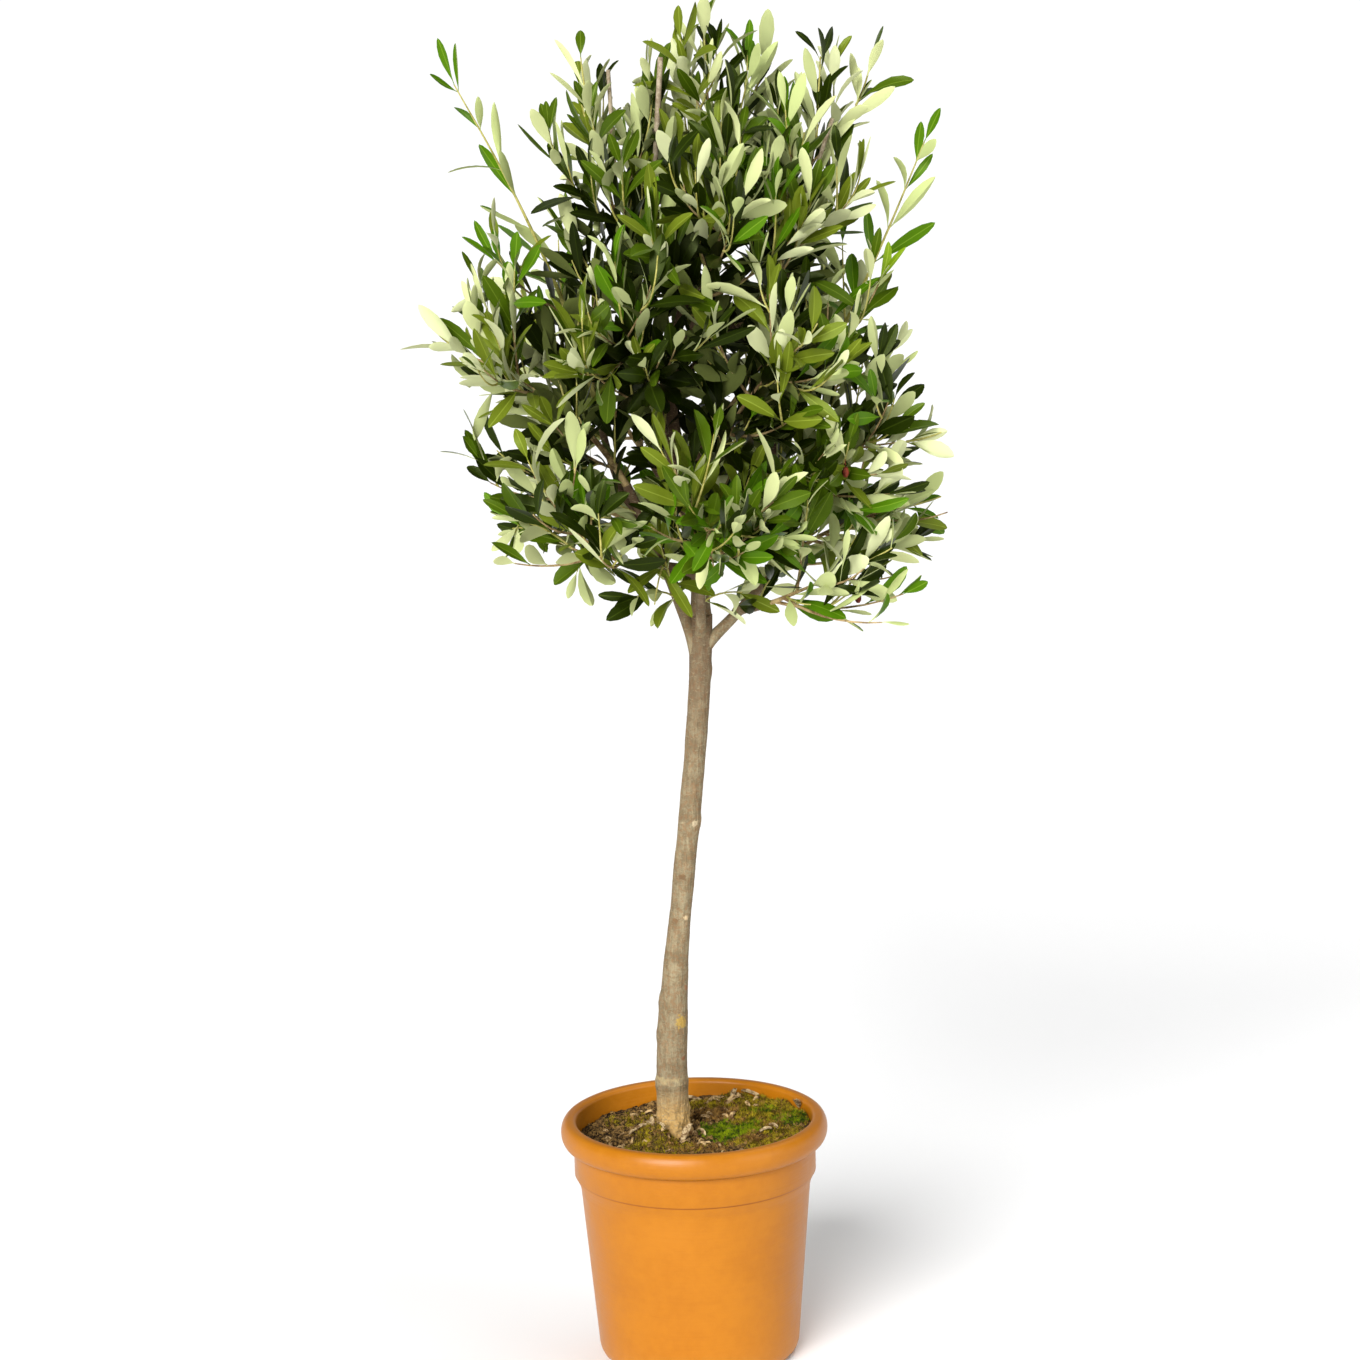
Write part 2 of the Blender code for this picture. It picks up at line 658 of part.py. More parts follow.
def fit_leaf(mass, space, taken, root, out, way, rule):
    """A leaf that stays in the mass's space and crosses nothing, folded or shortened to fit, or None."""
    spread = LEAF_SPREAD + rule.uniform(-0.16, 0.16)
    long = LEAF_LENGTH * rule.uniform(0.86, 1.12)
    wide = LEAF_WIDTH * rule.uniform(0.88, 1.12)
    for fold, scale in ((1.0, 1.0), (0.6, 1.0), (1.4, 1.0), (0.3, 0.9), (1.8, 0.85)):
        along = (way * math.cos(spread * fold) + out * math.sin(spread * fold)).normalized()
        across = way.cross(along).normalized()
        if not space.holds_all(mass.name, leaf_samples(root, along, across, long * scale, wide), LEAF_MARGIN):
            continue
        shadow = blade_shadow(root, along, across, long * scale, wide)
        if not any(shadow.overlap(other) for other in taken):
            return leaf_blade(root, along, across, long * scale, wide)
    return None


def taper(root_radius, tip_radius, count):
    return [blend(root_radius, tip_radius, k / (count - 1)) for k in range(count)]


def grow(mass, stem, stem_radius, stem_way, space, material):
    """One mass: its stem, twigs and leaves, joined into one closed body."""
    rule = random.Random(mass.seed + 500)
    stem_shape = tube(stem, taper(stem_radius, TWIG_TIP_RADIUS, len(stem)), STEM_SIDES, stem_way)
    carriers = [(stem, NODE_SPACING * 1.3, BVHTree.FromBMesh(stem_shape))]
    body = add_object(mass.name, stem_shape, material)
    parts = bpy.data.collections.new(mass.name + "_parts")
    bpy.context.scene.collection.children.link(parts)
    for share, twig in twig_paths(mass, stem, space):
        root_radius = min(TWIG_ROOT_RADIUS, blend(stem_radius, TWIG_TIP_RADIUS, share) * 0.8)
        twig_shape = tube(twig, taper(root_radius, TWIG_TIP_RADIUS, len(twig)), TWIG_SIDES)
        carriers.append((twig, NODE_SPACING, BVHTree.FromBMesh(twig_shape)))
        add_object("twig", twig_shape, None, parts)
    taken = []
    for path, spacing, own in carriers:
        length = sum((b - a).length for a, b in zip(path, path[1:]))
        others = [tree for _, _, tree in carriers if tree is not own]
        for root, out, way in leaf_places(path, BARE_SHARE * length, rule, spacing):
            blade = fit_leaf(mass, space, others + taken, root, out, way, rule)
            if blade:
                taken.append(BVHTree.FromBMesh(blade))
                add_object("leaf", blade, None, parts)
    join(body, parts)
    return body


def join(body, parts):
    """Fuses a collection's objects into body by one union, and drops what hangs loose or is sealed in."""
    union = body.modifiers.new("union", "BOOLEAN")
    union.operation = "UNION"
    union.operand_type = "COLLECTION"
    union.collection = parts
    union.solver = "EXACT"
    apply_modifiers(body)
    for part in list(parts.objects):
        bpy.data.objects.remove(part, do_unlink=True)
    bpy.data.collections.remove(parts)
    keep_main_shell(body.data)


def keep_main_shell(mesh):
    """Removes every shell but the largest, which leaves neither scraps nor sealed hollows."""
    shape = bmesh.new()
    shape.from_mesh(mesh)
    bmesh.ops.triangulate(shape, faces=shape.faces)
    unseen = set(shape.verts)
    shells = []
    while unseen:
        front = [unseen.pop()]
        shell = set(front)
        while front:
            for edge in front.pop().link_edges:
                for vert in edge.verts:
                    if vert not in shell:
                        shell.add(vert)
                        unseen.discard(vert)
                        front.append(vert)
        shells.append(shell)
    main = max(shells, key=len)
    spare = [vert for shell in shells if shell is not main for vert in shell]
    bmesh.ops.delete(shape, geom=spare, context="VERTS")
    shape.to_mesh(mesh)
    shape.free()


def main():
    clear_scene()
    plastic = finish_of("terracotta plastic", (0.80, 0.32, 0.07), 0.45)
    peat = finish_of("compost", (0.09, 0.06, 0.035), 0.95)
    moss = finish_of("moss", (0.16, 0.22, 0.03), 0.95)
    bark = finish_of("olive bark", (0.36, 0.30, 0.21), 0.85)
    foliage = finish_of("olive foliage", (0.16, 0.22, 0.09), 0.50)

    build_pot(plastic)
    build_compost(peat)
    for name, sectors, rings, depth in MOSS_MATS:
        build_moss(name, moss, sectors, rings, depth)

    build_trunk("trunk", bark)
    paths = {"trunk": [trunk_centre(height) for height in trunk_heights()]}
    build_limbs(bark, paths)

    stems = {mass.name: stem_path(mass, paths) for mass in MASSES}
    limbs = [(paths["trunk"], TRUNK_TOP_RADIUS)]
    limbs += [(paths[limb.name], limb.root_radius) for limb in LIMBS]
    space = Space(stems, limbs)
    tip_radii = {limb.name: limb.tip_radius for limb in LIMBS}
    for mass in MASSES:
        stem_way = path_at(paths[mass.limb], 1.0)[1]
        grow(mass, stems[mass.name], tip_radii[mass.limb], stem_way, space, foliage)


if __name__ == "__main__":
    main()
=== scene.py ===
"""Looks of a young olive grown as a standard in a plastic nursery pot, built on its CAD frame.

Metres, +Z up, with the origin under the middle of the pot and -Y the front. Boughs, stems and twigs
grow by the rule of the CAD source, and are carried on here to finer shoots and to leaves of real size.
"""

from __future__ import annotations

import json
import logging
import random
from collections.abc import Iterable, Iterator, Sequence
from dataclasses import dataclass, field
from enum import Enum
from functools import cache
from math import cos, exp, hypot, pi, radians, remainder, sin, sqrt

import bmesh
import bpy
import numpy as np
from bmesh.types import BMesh, BMVert
from bpy.types import ID, Material, Mesh, Node, NodeSocket, NodeTree, Object, bpy_prop_collection
from mathutils import Matrix, Vector, noise

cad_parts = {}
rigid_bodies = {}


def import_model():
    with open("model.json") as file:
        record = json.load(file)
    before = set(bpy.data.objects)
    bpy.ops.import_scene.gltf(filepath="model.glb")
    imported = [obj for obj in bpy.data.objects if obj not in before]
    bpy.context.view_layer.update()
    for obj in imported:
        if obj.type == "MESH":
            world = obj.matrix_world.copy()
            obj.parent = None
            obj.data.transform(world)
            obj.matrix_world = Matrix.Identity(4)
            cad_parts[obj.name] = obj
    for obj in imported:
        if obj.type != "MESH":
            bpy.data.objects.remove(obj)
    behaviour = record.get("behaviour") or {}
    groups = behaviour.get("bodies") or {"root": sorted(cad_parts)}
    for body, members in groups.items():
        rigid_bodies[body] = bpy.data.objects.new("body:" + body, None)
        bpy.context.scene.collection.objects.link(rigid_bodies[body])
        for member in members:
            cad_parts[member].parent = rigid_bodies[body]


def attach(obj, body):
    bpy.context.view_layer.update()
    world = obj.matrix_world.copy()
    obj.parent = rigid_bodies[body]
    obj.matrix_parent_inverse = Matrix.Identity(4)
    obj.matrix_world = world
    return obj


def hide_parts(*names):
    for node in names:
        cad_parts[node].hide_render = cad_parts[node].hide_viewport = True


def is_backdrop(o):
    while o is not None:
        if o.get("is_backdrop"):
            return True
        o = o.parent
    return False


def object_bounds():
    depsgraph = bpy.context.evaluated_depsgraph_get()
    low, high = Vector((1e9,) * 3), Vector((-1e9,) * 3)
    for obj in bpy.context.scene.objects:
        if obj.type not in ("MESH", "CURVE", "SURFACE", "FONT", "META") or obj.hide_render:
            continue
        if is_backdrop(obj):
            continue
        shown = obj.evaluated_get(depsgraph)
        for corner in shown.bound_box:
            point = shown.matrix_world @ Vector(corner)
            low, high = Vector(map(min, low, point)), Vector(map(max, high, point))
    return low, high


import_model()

# Red, green and blue as screen bytes, and two numbers that belong together.
Colour = tuple[int, int, int]
Pair = tuple[float, float]

LOG = logging.getLogger("olive")
ROOT_BODY = "root"
UP = Vector((0.0, 0.0, 1.0))
GOLDEN_ANGLE = radians(137.5)


# --- small helpers ---


def linear(byte: int) -> float:
    """The linear value of a screen byte."""
    share = byte / 255
    return share / 12.92 if share <= 0.04045 else ((share + 0.055) / 1.055) ** 2.4


def smoothstep(value: float, low: float, high: float) -> float:
    """A smooth ramp, from 0 at low to 1 at high."""
    share = min(max((value - low) / (high - low), 0.0), 1.0)
    return share * share * (3.0 - 2.0 * share)


def blend(a: float, b: float, share: float) -> float:
    """The value a share of the way from a to b."""
    return a + (b - a) * share


def shares_of(count: int) -> list[float]:
    """Evenly spaced shares, from 0 to 1."""
    return [k / (count - 1) for k in range(count)]


def round_turn(count: int) -> list[float]:
    """Evenly spaced angles round a circle."""
    return [2 * pi * k / count for k in range(count)]


def bend(start: Vector, way: Vector, end: Vector, pull: float, count: int) -> list[Vector]:
    """A curve from start, which it leaves along way for a share pull of its span, to end."""
    middle = start + way * (end - start).length * pull
    return [start * (1 - s) ** 2 + middle * 2 * s * (1 - s) + end * s * s for s in shares_of(count)]


def path_at(points: Sequence[Vector], share: float) -> tuple[Vector, Vector]:
    """A place on a path of straight runs.

    Args:
        points: the path.
        share: how far along it, each run counting alike.

    Returns:
        The point and the direction there.
    """
    spot = share * (len(points) - 1)
    i = min(int(spot), len(points) - 2)
    way = (points[i + 1] - points[i]).normalized()
    return points[i].lerp(points[i + 1], spot - i), way


def path_length(points: Sequence[Vector]) -> float:
    """The length of a path of straight runs."""
    return sum((b - a).length for a, b in zip(points, points[1:]))


def rounded(points: Sequence[Vector], per_run: int) -> list[Vector]:
    """A path that runs smoothly through the same points.

    Args:
        points: the path.
        per_run: how many pieces each run is cut into.

    Returns:
        The finer path.
    """
    padded = [points[0] * 2 - points[1], *points, points[-1] * 2 - points[-2]]
    fine = []
    for a, b, c, d in zip(padded, padded[1:], padded[2:], padded[3:]):
        for t in (k / per_run for k in range(per_run)):
            easing = (a * 2 - b * 5 + c * 4 - d) * t * t
            fine.append((b * 2 + (c - a) * t + easing + (b * 3 - a - c * 3 + d) * t**3) / 2)
    return [*fine, points[-1].copy()]


def distance_to_run(point: Vector, start: Vector, run: Vector) -> float:
    """How far a point lies from a straight run."""
    share = min(max((point - start).dot(run) / run.length_squared, 0.0), 1.0)
    return (point - start - run * share).length


def distance_to_path(point: Vector, points: Sequence[Vector]) -> float:
    """How far a point lies from a path of straight runs."""
    return min(distance_to_run(point, a, b - a) for a, b in zip(points, points[1:]))


def side_frames(points: Sequence[Vector]) -> list[tuple[Vector, Vector]]:
    """Two directions across a path at each point, carried along without twist.

    Args:
        points: the path.

    Returns:
        A pair of unit vectors for each point.
    """
    pairs = []
    side = None
    for i, _ in enumerate(points):
        tangent = (points[min(i + 1, len(points) - 1)] - points[max(i - 1, 0)]).normalized()
        if side is None:
            side = tangent.cross(UP if abs(tangent.z) < 0.9 else Vector((0.0, 1.0, 0.0)))
        side = (side - tangent * side.dot(tangent)).normalized()
        pairs.append((side, tangent.cross(side)))
    return pairs


def sideways(way: Vector, turn: float) -> Vector:
    """The direction across a way on the side that a turn gives."""
    side = way.orthogonal().normalized()
    return side * cos(turn) + way.cross(side) * sin(turn)


# --- objects ---


def add_object(name: str, data: ID, *materials: Material) -> Object:
    """Links a new object at the origin.

    Args:
        name: its name.
        data: its mesh, light or camera.
        materials: what goes into its slots.

    Returns:
        The object.
    """
    for material in materials:
        data.materials.append(material)
    obj = bpy.data.objects.new(name, data)
    bpy.context.scene.collection.objects.link(obj)
    return obj


def mesh_of(shape: BMesh, name: str, turned: bool = True) -> Mesh:
    """A mesh from a bmesh, which is freed.

    Args:
        shape: the bmesh.
        name: the mesh's name.
        turned: whether its faces are turned outwards.

    Returns:
        The mesh.
    """
    if turned:
        bmesh.ops.recalc_face_normals(shape, faces=shape.faces)
    mesh = bpy.data.meshes.new(name)
    shape.to_mesh(mesh)
    shape.free()
    return mesh


def mesh_from_rings(name: str, rings: Sequence[np.ndarray]) -> Mesh:
    """A smooth tube through rings of points, with closed ends.

    Args:
        name: its name.
        rings: as many points each, anticlockwise round the tube's way.

    Returns:
        The mesh.
    """
    sides = len(rings[0])
    last = (len(rings) - 1) * sides
    faces = []
    for base in range(0, last, sides):
        for k in range(sides):
            near, far = base + k, base + (k + 1) % sides
            faces.append((near, far, far + sides, near + sides))
    faces += [tuple(reversed(range(sides))), tuple(range(last, last + sides))]
    mesh = bpy.data.meshes.new(name)
    mesh.from_pydata(np.concatenate(rings), [], faces)
    mesh.shade_smooth()
    return mesh


def bake_modifiers(obj: Object) -> None:
    """Makes an object's evaluated mesh its own, and drops its modifiers.

    Args:
        obj: the object.
    """
    mesh = bpy.data.meshes.new_from_object(obj.evaluated_get(bpy.context.evaluated_depsgraph_get()))
    obj.modifiers.clear()
    obj.data = mesh


def run_tree(obj: Object, tree: NodeTree, values: dict[str, object]) -> Object:
    """Remakes an object's mesh by a Geometry Nodes tree.

    Args:
        obj: the object.
        tree: the tree.
        values: what its inputs are set to.

    Returns:
        The same object.
    """
    maker = obj.modifiers.new(tree.name, "NODES")
    maker.node_group = tree
    for item in tree.interface.items_tree:
        if item.in_out == "INPUT" and item.name in values:
            maker[item.identifier] = values[item.name]
    bake_modifiers(obj)
    return obj


def join_meshes(name: str, meshes: Sequence[Mesh]) -> Mesh:
    """One mesh that holds several, which are removed.

    Args:
        name: its name.
        meshes: what goes into it.

    Returns:
        The mesh.
    """
    shape = bmesh.new()
    for mesh in meshes:
        shape.from_mesh(mesh)
        bpy.data.meshes.remove(mesh)
    return mesh_of(shape, name, turned=False)


def set_down(obj: Object, slot: str, *nodes: str) -> None:
    """Fixes a finished piece to the frame and reports it.

    Args:
        obj: the piece.
        slot: not used.
        nodes: the CAD nodes that it stands for.
    """
    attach(obj, ROOT_BODY)
    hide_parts(*nodes)
    LOG.info("%s: %d triangles", obj.name, sum(len(face.vertices) - 2 for face in obj.data.polygons))


# --- node trees ---


class Graph:
    """Adds and links the nodes of one tree."""

    def __init__(self, tree: NodeTree) -> None:
        """Takes the tree that the nodes go into."""
        self.tree = tree

    def feed(self, node: Node, inputs: dict) -> None:
        """Sets or links a node's inputs.

        Args:
            node: the node.
            inputs: a value, a Colour or a socket for each, by its name or place.
        """
        for key, value in inputs.items():
            if isinstance(value, NodeSocket):
                self.tree.links.new(value, node.inputs[key])
            elif isinstance(value, tuple) and node.inputs[key].type == "RGBA":
                node.inputs[key].default_value = (*map(linear, value), 1.0)
            else:
                node.inputs[key].default_value = value

    def add(self, kind: str, inputs: dict | None = None, **settings: object) -> bpy_prop_collection:
        """Adds a node.

        Args:
            kind: the node's type.
            inputs: what its sockets are fed.
            settings: the node's own properties.

        Returns:
            Its outputs.
        """
        node = self.tree.nodes.new(kind)
        for name, value in settings.items():
            setattr(node, name, value)
        self.feed(node, inputs or {})
        return node.outputs

    def noise(self, place: object, scale: object, detail: float = 2.0, roughness: float = 0.5) -> NodeSocket:
        """A noise pattern about 0.5, of scale lumps a metre."""
        values = {"Vector": place, "Scale": scale, "Detail": detail, "Roughness": roughness}
        return self.add("ShaderNodeTexNoise", values)[0]

    def mix(self, share: object, first: object, second: object) -> NodeSocket:
        """The colour a share of the way from first to second."""
        return self.add("ShaderNodeMix", {0: share, 6: first, 7: second}, data_type="RGBA")[2]

    def math(self, operation: str, first: object, second: object = 0.0) -> NodeSocket:
        """The result of one sum."""
        return self.add("ShaderNodeMath", {0: first, 1: second}, operation=operation)[0]

    def ramp(self, value: object, low: float, high: float, start: float = 0, end: float = 1) -> NodeSocket:
        """A smooth ramp, from start where the value is low to end where it is high."""
        values = {"Value": value, "From Min": low, "From Max": high, "To Min": start, "To Max": end}
        return self.add("ShaderNodeMapRange", values, interpolation_type="SMOOTHSTEP")[0]


def new_group(name: str, kind: str, inputs: dict[str, str | float], *outputs: str) -> tuple[Graph, dict]:
    """A new node group with its sockets.

    Args:
        name: the group's name.
        kind: the tree's type.
        inputs: each one's first value, or its socket type.
        outputs: names; the one named Geometry carries geometry, the rest values.

    Returns:
        The group's graph, and the sockets that give its inputs.
    """
    tree = bpy.data.node_groups.new(name, kind)
    for label, first in inputs.items():
        socket_type = first if isinstance(first, str) else type(first).__name__.capitalize()
        socket = tree.interface.new_socket(label, in_out="INPUT", socket_type=f"NodeSocket{socket_type}")
        if socket_type != first:
            socket.default_value = first
    for label in outputs:
        socket_type = "NodeSocketGeometry" if label == "Geometry" else "NodeSocketFloat"
        tree.interface.new_socket(label, in_out="OUTPUT", socket_type=socket_type)
    graph = Graph(tree)
    return graph, dict(graph.add("NodeGroupInput").items())


class Effect(Enum):
    """The surface effects that finishes share, each a shader node group built once."""

    MOTTLE = "mottle"
    STREAK = "streak"
    SPOT = "spot"

    def tree(self) -> NodeTree:
        """The group of this effect."""
        builders = {Effect.MOTTLE: build_mottle, Effect.STREAK: build_streak, Effect.SPOT: build_spot}
        return bpy.data.node_groups.get(self.value) or builders[self]()

    def lay(self, coat: Coat, **inputs: object) -> dict[str, NodeSocket]:
        """Puts the group on a coat, with _ for a space in its inputs, and gives its outputs."""
        values = {"Vector": coat.place} | {name.replace("_", " "): value for name, value in inputs.items()}
        return dict(coat.add("ShaderNodeGroup", values, node_tree=self.tree()).items())


def build_mottle() -> NodeTree:
    """The group of uneven tone: broad patches broken up by a finer grain.

    Returns:
        The group, which gives a mask for colour and a grain for relief.
    """
    inputs = {"Vector": "Vector", "Scale": 20.0, "Fine Scale": 200.0, "Spread": 0.2}
    graph, given = new_group(Effect.MOTTLE.value, "ShaderNodeTree", inputs, "Mask", "Grain")
    broad = graph.noise(given["Vector"], given["Scale"], 3.0, 0.55)
    fine = graph.noise(given["Vector"], given["Fine Scale"], 3.0, 0.6)
    both = graph.math("ADD", graph.math("MULTIPLY", broad, 0.65), graph.math("MULTIPLY", fine, 0.35))
    low = graph.math("SUBTRACT", 0.5, given["Spread"])
    high = graph.math("ADD", 0.5, given["Spread"])
    graph.add("NodeGroupOutput", {"Mask": graph.ramp(both, low, high), "Grain": fine})
    return graph.tree


def build_streak() -> NodeTree:
    """The group of streaks: noise drawn out along the height, or across it below a stretch of 1.

    Returns:
        The group, which gives a mask.
    """
    inputs = {"Vector": "Vector", "Scale": 100.0, "Stretch": 8.0}
    graph, given = new_group(Effect.STREAK.value, "ShaderNodeTree", inputs, "Mask")
    squeeze = graph.math("DIVIDE", 1.0, given["Stretch"])
    factors = graph.add("ShaderNodeCombineXYZ", {0: 1.0, 1: 1.0, 2: squeeze})[0]
    drawn = graph.add("ShaderNodeVectorMath", {0: given["Vector"], 1: factors}, operation="MULTIPLY")
    lines = graph.noise(drawn[0], given["Scale"], 3.0, 0.55)
    graph.add("NodeGroupOutput", {"Mask": graph.ramp(lines, 0.32, 0.68)})
    return graph.tree


def build_spot() -> NodeTree:
    """The group of a ragged spot round one place, such as a scar or a patch of lichen.

    Returns:
        The group, which gives a mask.
    """
    inputs = {"Vector": "Vector", "Centre": "Vector", "Radius": 0.005, "Ragged": 0.6}
    graph, given = new_group(Effect.SPOT.value, "ShaderNodeTree", inputs, "Mask")
    away = graph.add("ShaderNodeVectorMath", {0: given["Vector"], 1: given["Centre"]}, operation="DISTANCE")
    share = graph.math("DIVIDE", away["Value"], given["Radius"])
    edge = graph.math("SUBTRACT", graph.noise(given["Vector"], 420.0), 0.5)
    wander = graph.math("MULTIPLY", edge, graph.math("MULTIPLY", given["Ragged"], 3.0))
    worn = graph.math("ADD", share, wander)
    graph.add("NodeGroupOutput", {"Mask": graph.ramp(worn, 0.55, 1.1, 1.0, 0.0)})
    return graph.tree


# --- finishes ---


class Coat(Graph):
    """A Principled material in the making, which reads Object coordinates."""

    def __init__(self, name: str) -> None:
        """Starts the material.

        Args:
            name: its name.
        """
        self.material = bpy.data.materials.new(name)
        self.material.use_nodes = True
        super().__init__(self.material.node_tree)
        self.shader = self.tree.nodes["Principled BSDF"]
        self.place = self.add("ShaderNodeTexCoord")["Object"]

    def bumps(self, height: object, depth: float, strength: float = 0.7) -> NodeSocket:
        """The relief of a pattern that stands out by a depth in metres."""
        values = {"Height": height, "Distance": depth, "Strength": strength}
        return self.add("ShaderNodeBump", values)[0]

    def finish(self, colour: object, roughness: object, shine: float, relief: NodeSocket) -> Material:
        """Feeds the shader.

        Args:
            colour: the base colour.
            roughness: how rough it is.
            shine: how strongly it reflects.
            relief: its bumps.

        Returns:
            The material.
        """
        values = {"Base Color": colour, "Roughness": roughness, "Specular IOR Level": shine, "Normal": relief}
        self.feed(self.shader, values)
        return self.material


@dataclass(frozen=True)
class PlasticFinish:
    """Satin terracotta-coloured plastic with moulding rings, dust at its foot, and painted shade in thin bands
    under the lip and at the collar's step.
    """

    name: str = "terracotta_plastic"
    deep: Colour = (165, 99, 8)
    light: Colour = (174, 107, 11)
    dusty: Colour = (184, 128, 66)
    roughness: Pair = (0.34, 0.44)
    gloss: float = 0.3
    orange_peel: float = 0.0001
    # Painted shade: a dark colour for thin bands at the collar's step and under the lip.
    crease: Colour = (120, 58, 6)
    crease_heights: tuple[Pair, ...] = ((0.1484, 0.0011), (0.1722, 0.0012))

    def build(self) -> Material:
        """Makes this finish.

        Returns:
            The material.
        """
        coat = Coat(self.name)
        tone = Effect.MOTTLE.lay(coat, Scale=16.0, Fine_Scale=140.0, Spread=0.16)
        mask, grain = tone["Mask"], tone["Grain"]
        rings = Effect.STREAK.lay(coat, Scale=9.0, Stretch=0.02)["Mask"]
        height = coat.add("ShaderNodeSeparateXYZ", {0: coat.place})["Z"]
        foot = coat.math("MULTIPLY", coat.ramp(height, 0.0, 0.03, 0.4, 0.0), grain)
        rung = coat.math("MULTIPLY", rings, 0.18)
        ringed = coat.mix(rung, coat.mix(mask, self.deep, self.light), self.light)
        scuffs = coat.ramp(coat.noise(coat.place, 260.0, 4.0, 0.7), 0.7, 0.84, 0.0, 0.25)
        worn = coat.mix(coat.math("MAXIMUM", foot, scuffs), ringed, self.dusty)
        # Painted shade: darkens the colour in a thin band round each of these heights.
        for level, half in self.crease_heights:
            away = coat.math("ABSOLUTE", coat.math("SUBTRACT", height, level))
            worn = coat.mix(coat.ramp(away, half * 0.3, half, 0.62, 0.0), worn, self.crease)
        pores = coat.math("ADD", coat.noise(coat.place, 900.0), rings)
        rough = coat.ramp(mask, 0.0, 1.0, *self.roughness)
        return coat.finish(worn, rough, self.gloss, coat.bumps(pores, self.orange_peel, 0.5))


@dataclass(frozen=True)
class Scar:
    """A mark on the trunk's bark, at a bearing in degrees."""

    height: float
    bearing: float
    radius: float
    colour: Colour


@dataclass(frozen=True)
class Band:
    """An uneven ring round the trunk: its half is half its height, its strength how well it shows."""

    height: float
    half: float
    colour: Colour
    strength: float


@dataclass(frozen=True)
class BarkFinish:
    """Smooth young olive bark: grey-beige with upright streaks, pale lenticels and marks."""

    name: str
    dark: Colour = (88, 74, 52)
    middle: Colour = (122, 106, 78)
    pale: Colour = (148, 135, 106)
    foot: Colour = (194, 156, 92)
    young: Colour = (88, 66, 48)
    speck: Colour = (132, 92, 56)
    foot_heights: Pair = (0.19, 0.226)
    young_heights: Pair = (0.4, 0.69)
    marks: tuple[tuple[Vector, float, Colour], ...] = ()
    bands: tuple[Band, ...] = ()

    def build(self) -> Material:
        """Makes this finish.

        Returns:
            The material.
        """
        coat = Coat(self.name)
        place = coat.place
        tone = Effect.MOTTLE.lay(coat, Scale=95.0, Fine_Scale=620.0, Spread=0.09)
        mask, grain = tone["Mask"], tone["Grain"]
        specks = Effect.MOTTLE.lay(coat, Scale=330.0, Fine_Scale=1300.0, Spread=0.06)["Mask"]
        streaks = Effect.STREAK.lay(coat, Scale=420.0, Stretch=7.0)["Mask"]
        pores = Effect.STREAK.lay(coat, Scale=260.0, Stretch=0.28)["Mask"]
        height = coat.add("ShaderNodeSeparateXYZ", {0: place})["Z"]
        colour = coat.mix(mask, self.middle, self.pale)
        colour = coat.mix(coat.math("MULTIPLY", streaks, 0.42), colour, self.dark)
        colour = coat.mix(coat.ramp(specks, 0.55, 1.0, 0.0, 0.4), colour, self.speck)
        at_foot = coat.ramp(height, *self.foot_heights, 1.5, 0.0)
        colour = coat.mix(coat.math("MINIMUM", coat.math("MULTIPLY", at_foot, grain), 0.9), colour, self.foot)
        colour = coat.mix(coat.ramp(height, *self.young_heights, 0.0, 0.85), colour, self.young)
        lenticels = coat.ramp(pores, 0.8, 0.95, 0.0, 0.5)
        colour = coat.mix(lenticels, colour, self.pale)
        wavy = coat.math("ADD", height, coat.math("MULTIPLY", coat.noise(place, 90.0), 0.006))
        for band in self.bands:
            away = coat.math("ABSOLUTE", coat.math("SUBTRACT", wavy, band.height + 0.003))
            broken = coat.ramp(coat.noise(place, 130.0), 0.4, 0.62, 0.1, 1.0)
            share = coat.math("MULTIPLY", broken, band.strength)
            share = coat.math("MULTIPLY", coat.ramp(away, band.half * 0.4, band.half, 1.0, 0.0), share)
            colour = coat.mix(share, colour, band.colour)
        for centre, radius, mark in self.marks:
            spot = Effect.SPOT.lay(coat, Centre=centre, Radius=radius)["Mask"]
            colour = coat.mix(coat.math("MULTIPLY", spot, 0.75), colour, mark)
        rough = coat.math("SUBTRACT", coat.math("ADD", grain, lenticels), streaks)
        return coat.finish(colour, coat.ramp(mask, 0.0, 1.0, 0.72, 0.92), 0.25, coat.bumps(rough, 0.0007))


@dataclass(frozen=True)
class EarthFinish:
    """A crumbly finish of two tones, stained where the mesh's attributes say."""

    name: str
    dark: Colour
    light: Colour
    scale: float = 90.0
    fine_scale: float = 600.0
    spread: float = 0.14
    roughness: float = 0.95
    depth: float = 0.0006
    stains: tuple[tuple[str, Colour], ...] = ()

    def build(self) -> Material:
        """Makes this finish.

        Returns:
            The material.
        """
        coat = Coat(self.name)
        tone = Effect.MOTTLE.lay(coat, Scale=self.scale, Fine_Scale=self.fine_scale, Spread=self.spread)
        colour = coat.mix(tone["Mask"], self.dark, self.light)
        for attribute, stain in self.stains:
            share = coat.add("ShaderNodeAttribute", attribute_name=attribute)["Fac"]
            colour = coat.mix(coat.math("MULTIPLY", share, 0.75), colour, stain)
        return coat.finish(colour, self.roughness, 0.15, coat.bumps(tone["Grain"], self.depth))


class Surface(Enum):
    """The three surfaces of a leaf, in the order of its material slots."""

    TOP = 0
    RIB = 1
    UNDER = 2


